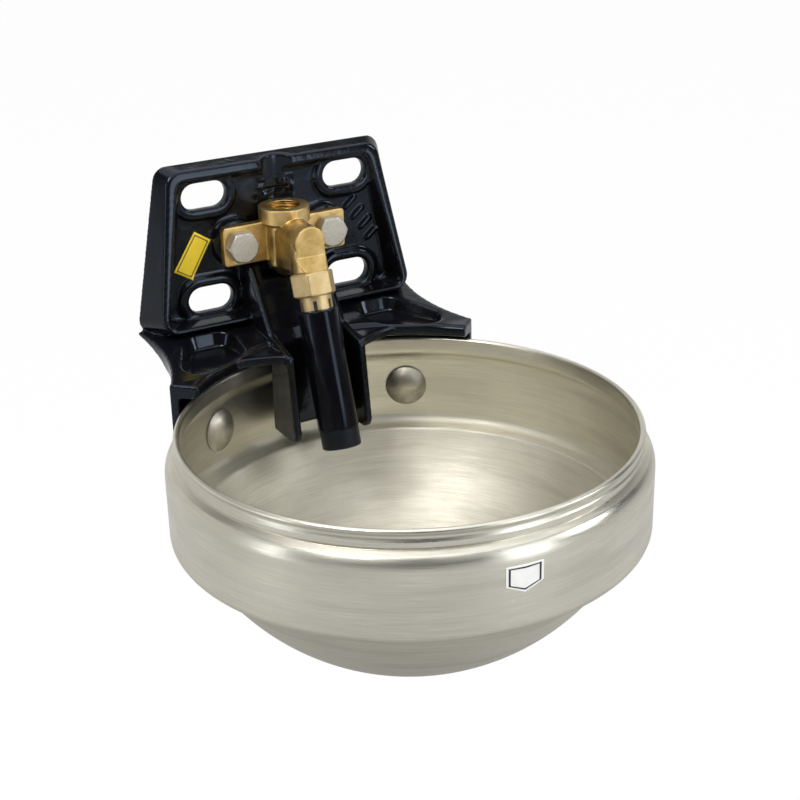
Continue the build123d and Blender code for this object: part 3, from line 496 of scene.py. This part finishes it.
def brass_material(name, light, dark, rough, grain_depth):
    made, t, socket = material(name, Metallic=1.0)
    grain = effect(t, "Cast grain", Coarse_scale=420.0, Fine_scale=2200.0, Fine_share=0.5)
    wear = effect(t, "Edge wear", Reach=0.0006, Breakup=500.0, Amount=0.7)
    body = t.mix(t.ramp(grain["Mottle"], 0.3, 0.7), rgb(*light), rgb(*dark))
    bright = rgb(*(min(1.0, WEAR_BRIGHTER * c) for c in light))
    t.join(t.mix(wear["Mask"], body, bright), socket["Base Color"])
    t.join(smudged(t, 90.0, rough), socket["Roughness"])
    t.join(relief(t, grain["Height"], distance=grain_depth, strength=0.6), socket["Normal"])
    return made


def zinc_material():
    """Hot-dipped zinc with dull speckles."""
    made, t, socket = material("speckled_zinc", Metallic=0.85)
    grain = effect(t, "Cast grain", Coarse_scale=1200.0, Fine_scale=3000.0, Fine_share=0.5)
    dull, bright = rgb(0.26, 0.245, 0.21), rgb(0.56, 0.53, 0.46)
    t.join(t.mix(t.ramp(grain["Height"], 0.34, 0.50), dull, bright), socket["Base Color"])
    t.join(t.ramp(grain["Mottle"], 0.3, 0.7, 0.36, 0.55), socket["Roughness"])
    t.join(relief(t, grain["Height"], distance=0.00030, strength=0.6), socket["Normal"])
    return made


def bolt_steel_material():
    made, t, socket = material("polished_bolt_steel", Metallic=1.0)
    grain = effect(t, "Cast grain", Coarse_scale=420.0, Fine_scale=2500.0, Fine_share=0.4)
    dull, bright = rgb(0.40, 0.375, 0.31), rgb(0.56, 0.53, 0.45)
    t.join(t.mix(t.ramp(grain["Mottle"], 0.3, 0.7), dull, bright), socket["Base Color"])
    t.join(smudged(t, 120.0, (0.38, 0.50)), socket["Roughness"])
    t.join(relief(t, grain["Height"], distance=0.00010, strength=0.5), socket["Normal"])
    return made


WORN_BLACK = rgb(0.03, 0.03, 0.035)


def moulded_material(name, tint, dusty, rough, coarse, depth):
    """Moulded plastic or rubber with a little handling dust."""
    made, t, socket = material(name, Specular_IOR_Level=0.25, Specular_Tint=SKY_TINT)
    grain = effect(t, "Cast grain", Coarse_scale=coarse, Fine_scale=coarse * 4.0, Fine_share=0.4)
    wear = effect(t, "Edge wear", Reach=0.0005, Breakup=700.0, Amount=0.3)
    body = t.mix(t.ramp(grain["Mottle"], 0.35, 0.8), rgb(*tint), rgb(*dusty))
    t.join(t.mix(wear["Mask"], body, WORN_BLACK), socket["Base Color"])
    t.join(smudged(t, 60.0, rough), socket["Roughness"])
    t.join(relief(t, grain["Height"], distance=depth, strength=0.5), socket["Normal"])
    return made


WORN_PRINT = 0.75            # the worn clouds of a print, against its colour


def printed_material(name, tint, rough):
    """Printed film, worn in clouds."""
    made, t, socket = material(name, Coat_Weight=0.2, Coat_Roughness=0.2)
    cloud = smudged(t, 200.0, (0.0, 0.35))
    worn = (WORN_PRINT * c for c in tint)
    t.join(t.mix(cloud, rgb(*tint), rgb(*worn)), socket["Base Color"])
    t.join(t.math("ADD", cloud, rough), socket["Roughness"])
    return made


enamel = enamel_material()
sheet_steel = sheet_steel_material()
cast_brass = brass_material(
    "cast_brass", (0.74, 0.54, 0.24), (0.52, 0.35, 0.12), rough=(0.30, 0.44), grain_depth=0.00025
)
thread_brass = brass_material(
    "thread_brass", (0.62, 0.36, 0.10), (0.48, 0.26, 0.07), rough=(0.28, 0.40), grain_depth=0.00008
)
turned_brass = brass_material(
    "turned_brass", (0.72, 0.56, 0.31), (0.63, 0.47, 0.23), rough=(0.42, 0.54), grain_depth=0.00006
)
zinc = zinc_material()
bolt_steel = bolt_steel_material()
shade_painted_steel = shade_painted_steel_material()
gloss_plastic = moulded_material(
    "gloss_black_plastic",
    tint=(0.0025, 0.0020, 0.0030),
    dusty=(0.0040, 0.0040, 0.0060),
    rough=(0.14, 0.20),
    coarse=300.0,
    depth=0.00003,
)
matt_rubber = moulded_material(
    "matt_black_rubber",
    tint=(0.005, 0.005, 0.007),
    dusty=(0.010, 0.011, 0.014),
    rough=(0.36, 0.50),
    coarse=500.0,
    depth=0.00012,
)
yellow_film = printed_material("yellow_film", (0.84, 0.60, 0.01), rough=0.25)
white_film = printed_material("white_film", (0.80, 0.80, 0.77), rough=0.30)
black_ink = printed_material("black_ink", (0.012, 0.012, 0.014), rough=0.35)


# ---------------------------------------------------------------- making meshes
def link(mesh, name):
    made = bpy.data.objects.new(name, mesh)
    bpy.context.scene.collection.objects.link(made)
    return made


def finished(mesh, name):
    """An object from a bmesh, which is freed."""
    data = bpy.data.meshes.new(name)
    mesh.to_mesh(data)
    mesh.free()
    return link(data, name)


def dress(piece, body, look_of):
    """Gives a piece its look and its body."""
    piece.data.materials.clear()
    piece.data.materials.append(look_of)
    for polygon in piece.data.polygons:
        polygon.use_smooth = True
    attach(piece, body)


def applied(piece):
    """The piece with its modifiers worked into its mesh."""
    bpy.context.view_layer.update()
    graph = bpy.context.evaluated_depsgraph_get()
    mesh = bpy.data.meshes.new_from_object(piece.evaluated_get(graph))
    piece.modifiers.clear()
    piece.data = mesh
    return piece


def softened(node, name, voxel, rounds):
    """A copy of a CAD node with every edge rounded, as a casting has; the voxel is in mm."""
    piece = link(nodes[node].data.copy(), name)
    mesh = bmesh.new()
    mesh.from_mesh(piece.data)
    bmesh.ops.remove_doubles(mesh, verts=mesh.verts, dist=1e-6)
    mesh.to_mesh(piece.data)
    mesh.free()
    voxels = piece.modifiers.new("voxels", "REMESH")
    voxels.mode = "VOXEL"
    voxels.voxel_size = voxel * MM
    voxels.use_smooth_shade = True
    wrap = piece.modifiers.new("wrap", "SHRINKWRAP")
    wrap.target = nodes[node]
    wrap.wrap_method = "NEAREST_SURFACEPOINT"
    soft = piece.modifiers.new("soft", "SMOOTH")
    soft.factor = 0.5
    soft.iterations = rounds
    return applied(piece)


def arc(middle, radius, start, end, steps):
    """Corners of zero radius along an arc, both ends included."""
    turns = [start + (end - start) * step / steps for step in range(steps + 1)]
    return [(middle[0] + radius * cos(turn), middle[1] + radius * sin(turn), 0.0) for turn in turns]


def spun(vector, turn):
    """A flat vector turned anticlockwise."""
    return Vector(
        (
            vector.x * cos(turn) - vector.y * sin(turn),
            vector.x * sin(turn) + vector.y * cos(turn),
        )
    )


CORNER_ROOM = 0.48           # the most of a straight run that one corner may use


def rounded(corners, steps, hold):
    """An outline of (x, y, corner radius), with holding points that keep straight runs flat."""
    line = []
    for index, (x, y, radius) in enumerate(corners):
        here = Vector((x, y))
        if not 0 < index < len(corners) - 1 or radius == 0.0:
            line.append(here)
            continue
        to_last = Vector(corners[index - 1][:2]) - here
        to_next = Vector(corners[index + 1][:2]) - here
        room = CORNER_ROOM * min(to_last.length, to_next.length)
        to_last.normalize()
        to_next.normalize()
        half = to_last.angle(to_next) / 2
        back = min(radius / tan(half), room)
        middle = here + (to_last + to_next).normalized() * back / cos(half)
        first, last = here + to_last * back - middle, here + to_next * back - middle
        sweep = first.angle_signed(last)
        held = hold < room - back
        if held:
            line.append(here + to_last * (back + hold))
        line += [middle + spun(first, -sweep * step / steps) for step in range(steps + 1)]
        if held:
            line.append(here + to_next * (back + hold))
    return line


def turned(name, section, feet, up, across=ACROSS, sides=96):
    """One mesh of bodies turned about axes; feet and up may be lists.

    A section is a list of (radius, height), or a function that gives one for each turn.
    """
    mesh = bmesh.new()
    feet = feet if isinstance(feet, list) else [feet]
    ups = up if isinstance(up, list) else [up] * len(feet)
    for foot, axis in zip(feet, ups):
        side = (across - axis * across.dot(axis)).normalized()
        front = axis.cross(side)
        rings = []
        for number in range(sides):
            turn = tau * number / sides
            out = side * cos(turn) + front * sin(turn)
            points = section(turn) if callable(section) else section
            rings.append([mesh.verts.new((foot + out * r + axis * h) * MM) for r, h in points])
        for here, beside in zip(rings, rings[1:] + rings[:1]):
            for low in range(len(here) - 1):
                mesh.faces.new((here[low], beside[low], beside[low + 1], here[low + 1]))
    bmesh.ops.remove_doubles(mesh, verts=mesh.verts, dist=1e-7)
    bmesh.ops.dissolve_degenerate(mesh, edges=mesh.edges, dist=1e-8)
    bmesh.ops.recalc_face_normals(mesh, faces=mesh.faces)
    return finished(mesh, name)


def hexed(outline, flats, corner_turn, low=None, high=None):
    """A section clipped to a hexagon; an end at height low or high is bevelled by a cone."""
    half = flats / 2

    def section(turn):
        off_flat = (turn - corner_turn) % (pi / 3) - pi / 6
        reach = min(half / cos(off_flat), half * CORNER_CUT)
        past = (reach - half * CONE_START) * tan(CHAMFER)
        bevels = {high: -past, low: past}
        return [(reach, h + bevels.get(h, 0.0)) if r > half else (r, h) for r, h in outline]

    return section


def stuck_on(name, carrier, spot, aim, lift, columns=28, rows=20):
    """A thin film on a surface: spot(u, v) is thrown onto the carrier along aim."""
    tree = BVHTree.FromObject(carrier, bpy.context.evaluated_depsgraph_get())
    mesh = bmesh.new()
    grid = []
    for row in range(rows + 1):
        line = []
        for column in range(columns + 1):
            start = spot(column / columns, row / rows) * MM
            hit = tree.ray_cast(start - aim * THROW * MM, aim)[0]
            line.append(mesh.verts.new(hit - aim * lift * MM))
        grid.append(line)
    for low, high in zip(grid, grid[1:]):
        for column in range(columns):
            mesh.faces.new((low[column], low[column + 1], high[column + 1], high[column]))
    piece = finished(mesh, name)
    thick = piece.modifiers.new("thick", "SOLIDIFY")
    thick.thickness = FILM_THICKNESS * MM
    thick.offset = 0.0
    return applied(piece)


def within(spot, left, right, low, high):
    """Part of a film's outline, from shares of its width and height."""
    return lambda u, v: spot(left + (right - left) * u, low + (high - low) * v)


def framed_film(name, carrier, spot, aim, film, margin, line):
    """A blank film with a thin printed line round it; margin and line are shares of its sides."""
    blank = stuck_on(name, carrier, spot, aim, FILM_LIFT)
    dress(blank, "frame", film)
    (left, low), (wide, high) = margin, line
    right, top = 1.0 - left, 1.0 - low
    spans = {
        "foot": (left, right, low, low + high),
        "head": (left, right, top - high, top),
        "left": (left, left + wide, low, top),
        "right": (right - wide, right, low, top),
    }
    for side, span in spans.items():
        printed = stuck_on(name + "_line_" + side, carrier, within(spot, *span), aim, INK_LIFT)
        dress(printed, "frame", black_ink)


# ---------------------------------------------------------------- enamelled casting
# four short ribs cast on the dished panel, right of the valve
RIB_MIDDLES = [(49.0, 12.0), (54.0, 5.0), (59.0, -2.0), (63.0, -9.5)]
RIB_LEAN, RIB_HALF, RIB_R, RIB_PROUD = radians(40.0), 3.6, 2.2, 1.3
RIBS_FROM_X = 40.0
PANEL_Y = -14.0              # the panel's face is ahead of the wall by this or less

# waves in the pipe trough above the collar, as poured
TROUGH_HALF, TROUGH_LOW, TROUGH_HIGH = 13.0, 20.0, 36.0
SIDE_FADE, LOW_FADE, HIGH_FADE = 4.0, 3.0, 6.0
WAVE_DEPTH, WAVES_PER_MM, WAVE_SQUEEZE = 1.8, 0.15, 1.6
FACING_FRONT = -0.2          # only faces whose normal points this far forward are worked


def rib_height(x, z):
    """How far the ribs stand out of the panel at a place."""
    height = 0.0
    for middle_x, middle_z in RIB_MIDDLES:
        along = (x - middle_x) * cos(RIB_LEAN) + (z - middle_z) * sin(RIB_LEAN)
        across = (z - middle_z) * cos(RIB_LEAN) - (x - middle_x) * sin(RIB_LEAN)
        off = hypot(max(0.0, abs(along) - RIB_HALF), across) / RIB_R
        height = max(height, RIB_PROUD * max(0.0, 1.0 - off * off))
    return height


def wave_height(x, z):
    """How far the trough's waves stand out, fading at its edges."""
    fades = (
        (TROUGH_HALF - abs(x)) / SIDE_FADE,
        (z - TROUGH_LOW) / LOW_FADE,
        (TROUGH_HIGH - z) / HIGH_FADE,
    )
    fade = max(0.0, min(1.0, *fades))
    return WAVE_DEPTH * fade * noise.noise(Vector((x, 0.0, WAVE_SQUEEZE * z)) * WAVES_PER_MM)


def make_enamelled_plate():
    plate = softened("back_plate", "enamelled_plate", 0.6, 34)
    vertices = plate.data.vertices
    normals = [vertex.normal.copy() for vertex in vertices]
    for vertex, normal in zip(vertices, normals):
        if normal.y > FACING_FRONT:
            continue
        x, y, z = vertex.co / MM
        if x > RIBS_FROM_X and y > PANEL_Y:
            vertex.co.y -= rib_height(x, z) * MM
        if abs(x) < TROUGH_HALF and TROUGH_LOW < z < TROUGH_HIGH:
            vertex.co.y -= wave_height(x, z) * MM
    dress(plate, "frame", enamel)
    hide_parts("back_plate")
    return plate


# ---------------------------------------------------------------- drawn bowl
SHEET = 1.2
BAND_R, BAND_CORNER = 129.5, 6.0
LEDGE_R, LEDGE_CORNER = 118.5, 2.4
LEDGE_DEPTH = 58.8           # below the rim
DOME_CENTRE = -3.3           # middle of the round bottom, from the rim
STEP_R, STEP_DEPTH, SHOULDER_DEPTH = 126.6, 12.2, 20.0
CREASE_R, CREASE_TOP, CREASE_DEPTH = 122.9, 9.0, 10.2
INNER_CREASE_DEPTH, INNER_STEP_R, INNER_STEP_DEPTH = 10.23, 125.69, 12.98
OPENING_R, BEAD_R, BEAD_OUT = 120.6, 1.7, 124.0
GROOVE_DEPTH, GROOVE_HEIGHT, GROOVE_FOOT = 0.9, 4.5, 6.2


def bowl_outline():
    """Half section of the sheet, from the middle outside up to the rim and back inside."""
    drop = SHOULDER_DEPTH - STEP_DEPTH
    bend_r = ((BAND_R - STEP_R) ** 2 + drop**2) / (2 * (BAND_R - STEP_R))
    bend = asin(drop / bend_r)
    bend_middle = (BAND_R - bend_r, -SHOULDER_DEPTH)
    dome_middle, dome_r = (0.0, DOME_CENTRE), hypot(LEDGE_R, LEDGE_DEPTH + DOME_CENTRE)
    dome_edge = -atan2(LEDGE_DEPTH + DOME_CENTRE, LEDGE_R)

    outside = arc(dome_middle, dome_r, -pi / 2, dome_edge, 48)[:-1]
    outside += [(LEDGE_R, -LEDGE_DEPTH, LEDGE_CORNER), (BAND_R, -LEDGE_DEPTH, BAND_CORNER)]
    outside += arc(bend_middle, bend_r, 0.0, bend, 8)[:-1]
    outside += [(STEP_R, -STEP_DEPTH, 2.0), (CREASE_R, -CREASE_DEPTH, 0.5)]
    outside += [(BEAD_OUT, -CREASE_TOP, 0.5), (BEAD_OUT, -GROOVE_FOOT, 0.5)]
    for share in (step / 8 for step in range(1, 8)):
        hollow, height = GROOVE_DEPTH * sin(pi * share), GROOVE_HEIGHT * share
        outside.append((BEAD_OUT - hollow, height - GROOVE_FOOT, 0.0))
    outside += arc((BEAD_OUT - BEAD_R, -BEAD_R), BEAD_R, 0.0, pi, 14)

    floor_z = SHEET - LEDGE_DEPTH
    inner_r = dome_r - SHEET
    inner_ledge = sqrt(inner_r**2 - (DOME_CENTRE - floor_z) ** 2)
    inner_edge = -atan2(DOME_CENTRE - floor_z, inner_ledge)
    inside = [(OPENING_R, -INNER_CREASE_DEPTH, 4.0), (INNER_STEP_R, -INNER_STEP_DEPTH, 1.5)]
    inside += arc(bend_middle, bend_r - SHEET, bend, 0.0, 8)[1:]
    inside += [(BAND_R - SHEET, floor_z, BAND_CORNER - SHEET)]
    inside += [(inner_ledge, floor_z, LEDGE_CORNER + SHEET)]
    inside += arc(dome_middle, inner_r, inner_edge, -pi / 2, 48)[1:]
    return rounded(outside + inside, 7, 0.3)


def make_bowl():
    bowl = turned("drawn_bowl", bowl_outline(), Vector((0.0, BOWL_Y, RIM_Z)), UPRIGHT, sides=288)
    dress(bowl, "frame", sheet_steel)
    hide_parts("bowl")
    return bowl


# ---------------------------------------------------------------- bolts and nuts
BOLT_HEAD_R, BOLT_HEAD_RISE, BOLT_HEAD_EDGE = 24.65 / 2, 5.4, 0.7
BOLT_PITCH, BOLT_THREAD_DEPTH = 1.5, 0.55
BOLT_THREAD_FROM, BOLT_THREAD_TO = -8.5, -21.6
BOLT_END, BOLT_POINT_R = -22.3, 4.2
NUT_HEIGHT, NUT_LEAD = 8.0, 0.6
VALVE_HEAD_HEIGHT, VALVE_SHANK = 6.4, 14.0


def threaded(radius, start, end, pitch, depth):
    """Outline of a run of thread, as rings: each has a crest and a root with sloping sides."""
    count = int(abs(end - start) / pitch)
    step = (end - start) / count
    points = []
    for ridge in range(count):
        h = start + step * ridge
        points += [(radius, h + 0.15 * step), (radius, h + 0.35 * step)]
        points += [(radius - depth, h + 0.65 * step), (radius - depth, h + 0.85 * step)]
    return points


def carriage_bolt_outline():
    """A round head with a thin edge, its shank and a run of thread, from the crown down."""
    rise = BOLT_HEAD_RISE - BOLT_HEAD_EDGE
    ball_r = (BOLT_HEAD_R**2 + rise**2) / (2 * rise)
    half = asin(BOLT_HEAD_R / ball_r)
    crown = arc((0.0, BOLT_HEAD_RISE - ball_r), ball_r, pi / 2, pi / 2 - half, 20)[:-1]
    edge = [(BOLT_HEAD_R, BOLT_HEAD_EDGE, 0.35), (BOLT_HEAD_R, 0.0, 0.15), (BOLT_R, 0.0, 0.0)]
    head = [tuple(point) for point in rounded(crown + edge, 4, 0.1)]
    thread = threaded(BOLT_R, BOLT_THREAD_FROM, BOLT_THREAD_TO, BOLT_PITCH, BOLT_THREAD_DEPTH)
    return head + thread + [(BOLT_POINT_R, BOLT_END), (0.0, BOLT_END)]


def bowl_nut_outline():
    """A nut's wall, with a lead into the bore at both ends."""
    bore, mouth = BOLT_R + 0.05, BOLT_R + NUT_LEAD
    wall = [(mouth, 0.0), (HEX_OUT, 0.0), (HEX_OUT, NUT_HEIGHT), (mouth, NUT_HEIGHT)]
    return [(bore, NUT_LEAD)] + wall + [(bore, NUT_HEIGHT - NUT_LEAD), (bore, NUT_LEAD)]


def make_bowl_bolts():
    outs = [Vector((side * sin(BOWL_BOLT_TURN), cos(BOWL_BOLT_TURN), 0.0)) for side in (-1, 1)]
    drop = Vector((0.0, BOWL_Y, RIM_Z - BOWL_BOLT_DROP))
    heads = [drop + out * HEAD_SEAT_R for out in outs]
    ins = [-out for out in outs]
    bolts = turned("carriage_bolts", carriage_bolt_outline(), heads, ins, across=UPRIGHT)
    dress(bolts, "frame", bolt_steel)
    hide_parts("bowl_bolts")
    section = hexed(bowl_nut_outline(), HEX_AF, 0.0, high=NUT_HEIGHT)
    seats = [drop + out * NUT_SEAT_R for out in outs]
    nuts = turned("bowl_hex_nuts", section, seats, outs, across=UPRIGHT)
    dress(nuts, "frame", bolt_steel)
    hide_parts("bowl_nuts")


def make_valve_bolts():
    """Hexagon heads with a turned top; a corner points to each side."""
    top = VALVE_HEAD_HEIGHT
    crown = HEX_AF / 2 * CONE_START
    outline = [(0.0, top), (crown - 0.3, top), (crown, top - 0.02), (HEX_OUT, top)]
    outline += [(HEX_OUT, top - 1.2), (HEX_OUT, 0.5), (HEX_OUT, 0.0), (BOLT_R, 0.0)]
    outline += [(BOLT_R, -VALVE_SHANK), (0.0, -VALVE_SHANK)]
    feet = [Vector((side * VALVE_BOLT_X, EAR_FRONT_Y, EAR_Z)) for side in (-1, 1)]
    bolts = turned("valve_hex_bolts", hexed(outline, HEX_AF, 0.0, high=top), feet, -BACKWARD)
    dress(bolts, "frame", zinc)
    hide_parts("valve_bolts")


# ---------------------------------------------------------------- union nut and tube
# heights are up the leg, from the middle of the union nut
UNION_AF, UNION_HALF, UNION_CORNER_TURN = 22.5, 7.0, radians(54.0)
UNION_OUT = 14.0             # the outline reaches past its corners
UNION_THREAD_R, UNION_LEAD_R, UNION_ROOM_R, UNION_MOUTH_R, UNION_BORE_R = 9.35, 9.8, 10.0, 10.3, 7.6
TUBE_R, TUBE_TOP, TUBE_END = 11.9, -15.4, -84.6
TUBE_NECK_R, TUBE_BORE_R = 8.85, 7.5
SLEEVE_END = -20.05          # the tube's neck grips the sleeve down to here
BUMPER_R, BUMPER_TOP, BUMPER_HEIGHT = 11.4, -84.65, 11.4
BUMPER_NECK_R, BUMPER_NECK_HEIGHT, BUMPER_BORE_R = 7.45, 9.0, 5.4


def make_union_nut():
    low, high, room_low, room_high = -UNION_HALF, UNION_HALF, -2.7, 3.5
    seat, bevel, chamfer, lead = -4.0, 1.6, 0.3, 0.4
    outline = [(UNION_THREAD_R, high - lead), (UNION_LEAD_R, high), (UNION_OUT, high)]
    outline += [(UNION_OUT, high - bevel), (UNION_OUT, low + bevel), (UNION_OUT, low)]
    outline += [(UNION_MOUTH_R + chamfer, low), (UNION_MOUTH_R, low + chamfer)]
    outline += [(UNION_MOUTH_R, seat), (UNION_BORE_R, seat), (UNION_BORE_R, room_low)]
    outline += [(UNION_ROOM_R, room_low), (UNION_ROOM_R, room_high), (UNION_THREAD_R, room_high)]
    outline += [(UNION_THREAD_R, high - lead)]
    section = hexed(outline, UNION_AF, UNION_CORNER_TURN, low, high)
    nut = turned("hex_union_nut", section, LEG_FOOT, LEG_UP, sides=144)
    dress(nut, "frame", turned_brass)
    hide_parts("union_nut")


def make_drinking_tube():
    outline = [(TUBE_BORE_R, TUBE_END, 0.0), (TUBE_R, TUBE_END, 0.5), (TUBE_R, TUBE_TOP, 0.7)]
    outline += [(TUBE_NECK_R, TUBE_TOP, 0.2), (TUBE_NECK_R, SLEEVE_END, 0.0)]
    outline += [(TUBE_BORE_R, SLEEVE_END, 0.0), (TUBE_BORE_R, TUBE_END, 0.0)]
    tube = turned("black_tube", rounded(outline, 6, 0.3), LEG_FOOT, LEG_UP, sides=144)
    dress(tube, "tube", gloss_plastic)
    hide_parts("drinking_tube")


def make_bumper():
    low, neck_top = BUMPER_TOP - BUMPER_HEIGHT, BUMPER_TOP + BUMPER_NECK_HEIGHT
    outline = [(BUMPER_BORE_R, neck_top, 0.0), (BUMPER_BORE_R, low, 0.8), (BUMPER_R, low, 1.2)]
    outline += [(BUMPER_R, BUMPER_TOP, 0.5), (BUMPER_NECK_R, BUMPER_TOP, 0.0)]
    outline += [(BUMPER_NECK_R, neck_top, 0.0), (BUMPER_BORE_R, neck_top, 0.0)]
    bumper = turned("rubber_bumper", rounded(outline, 6, 0.3), LEG_FOOT, LEG_UP, sides=128)
    dress(bumper, "tube", matt_rubber)
    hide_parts("tube_bumper")


# ---------------------------------------------------------------- valve
THREAD_TOP, THREAD_LOW, THREAD_PITCH = COLLAR_TOP - 0.8, COLLAR_TOP - 13.6, 1.814
THREAD_CREST, THREAD_ROOT = 9.3, 10.45
BORE_FROM_R, BORE_TO_R = 8.4, 10.2         # the plain bore's wall lies between these
BEHIND_RIDGES = 0.2          # the bore is opened up to this far behind the thread's roots
THREAD_STEPS, FADE_UP, FADE_DOWN = 64, 4.0, 6.0


def make_valve_casting():
    """The brass body, its plain inlet bore opened up to make room for the thread."""
    body = softened("valve_body", "valve_casting", 0.36, 12)
    axis = Vector((0.0, INLET_Y * MM, 0.0))
    for vertex in body.data.vertices:
        out = vertex.co - axis
        height = out.z / MM
        out.z = 0.0
        reach = out.length / MM
        if BORE_FROM_R < reach < BORE_TO_R and THREAD_LOW < height < THREAD_TOP:
            vertex.co += out.normalized() * (THREAD_ROOT + BEHIND_RIDGES - reach) * MM
    dress(body, "frame", cast_brass)
    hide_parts("valve_body")


def thread_section(turn):
    """The helical ridge at one turn about the inlet, faded out at both ends of the thread."""
    back = THREAD_ROOT + 2 * BEHIND_RIDGES
    points = [(back, THREAD_LOW)]
    for step in range(THREAD_STEPS + 1):
        h = THREAD_LOW + (THREAD_TOP - THREAD_LOW) * step / THREAD_STEPS
        saw = ((h - THREAD_LOW) / THREAD_PITCH - turn / tau) % 1.0
        ridge = 1.0 - abs(2.0 * saw - 1.0)
        fade = min(1.0, step / FADE_UP, (THREAD_STEPS - step) / FADE_DOWN)
        points.append((THREAD_ROOT - (THREAD_ROOT - THREAD_CREST) * ridge * fade, h))
    return points + [(back, THREAD_TOP), (back, THREAD_LOW)]


def make_inlet_thread():
    thread = turned("inlet_thread_ridges", thread_section, Vector((0.0, INLET_Y, 0.0)), UPRIGHT)
    dress(thread, "frame", thread_brass)


def make_closing_spring():
    """The closing spring's coils, with their lower end on the stem's flange, moving with the stem."""
    spring = link(nodes["closing_spring"].data.copy(), "closing_coils")
    # the coils take steel painted dark as painted shade
    dress(spring, "stem", shade_painted_steel)
    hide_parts("closing_spring")
    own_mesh(spring)


# ---------------------------------------------------------------- sticker and label
STICKER_Y = -60.0            # the sticker is thrown back from here onto the panel
STICKER_CORNERS = ((-66.5, -11.5), (-55.5, -18.0), (-42.5, 4.2), (-52.2, 10.6))
LABEL_THROW_R = 140.0        # outside the bowl's band
LABEL_AIM = Vector((0.1, 0.995, 0.0)).normalized()
LABEL_FROM, LABEL_SWEEP = -9.8, 8.2        # degrees round the bowl, from its front
LABEL_TOP, LABEL_SIDE_FOOT, LABEL_POINT = -83.6, -94.2, 4.4


def sticker_spot(u, v):
    """A place on the sticker, which leans as a hand stuck it on."""
    low_left, low_right, high_right, high_left = (
        Vector((x, STICKER_Y, z)) for x, z in STICKER_CORNERS
    )
    return low_left.lerp(low_right, u).lerp(high_left.lerp(high_right, u), v)


def label_spot(u, v):
    """A place on the label, whose foot comes to a point."""
    turn = radians(LABEL_FROM + LABEL_SWEEP * u)
    foot = LABEL_SIDE_FOOT - LABEL_POINT * (1.0 - abs(2.0 * u - 1.0))
    x, y = LABEL_THROW_R * sin(turn), BOWL_Y - LABEL_THROW_R * cos(turn)
    return Vector((x, y, foot + (LABEL_TOP - foot) * v))


def stick_on_films(plate, bowl):
    framed_film(
        "blank_yellow_sticker",
        plate,
        sticker_spot,
        BACKWARD,
        yellow_film,
        margin=(0.10, 0.05),
        line=(0.045, 0.02),
    )
    framed_film(
        "blank_bowl_label",
        bowl,
        label_spot,
        LABEL_AIM,
        white_film,
        margin=(0.07, 0.09),
        line=(0.05, 0.05),
    )


# ---------------------------------------------------------------- put it together
# small parts that are shown as the solids have them
FINISHES = {
    "bowl_washers": bolt_steel,
    "bowl_seals": matt_rubber,
    "nut_seal": matt_rubber,
    "valve_seat": turned_brass,
    "seat_seal": matt_rubber,
    "spring_retainer": turned_brass,
    "inlet_strainer": bolt_steel,
    "rocker_ring": turned_brass,
    # tube_sleeve and valve_stem take steel painted dark as painted shade
    "tube_sleeve": shade_painted_steel,
    "tube_ferrule": turned_brass,
    "valve_stem": shade_painted_steel,
    "stem_disc": matt_rubber,
}
for node, look_of in FINISHES.items():
    nodes[node].data.materials.clear()
    nodes[node].data.materials.append(look_of)

bpy.context.scene.view_settings.view_transform = "Standard"
set_camera()
set_world()
set_floor()
set_lamps()

enamelled_plate = make_enamelled_plate()
drawn_bowl = make_bowl()
make_bowl_bolts()
make_valve_bolts()
make_union_nut()
make_drinking_tube()
make_bumper()
make_valve_casting()
make_inlet_thread()
make_closing_spring()
stick_on_films(enamelled_plate, drawn_bowl)
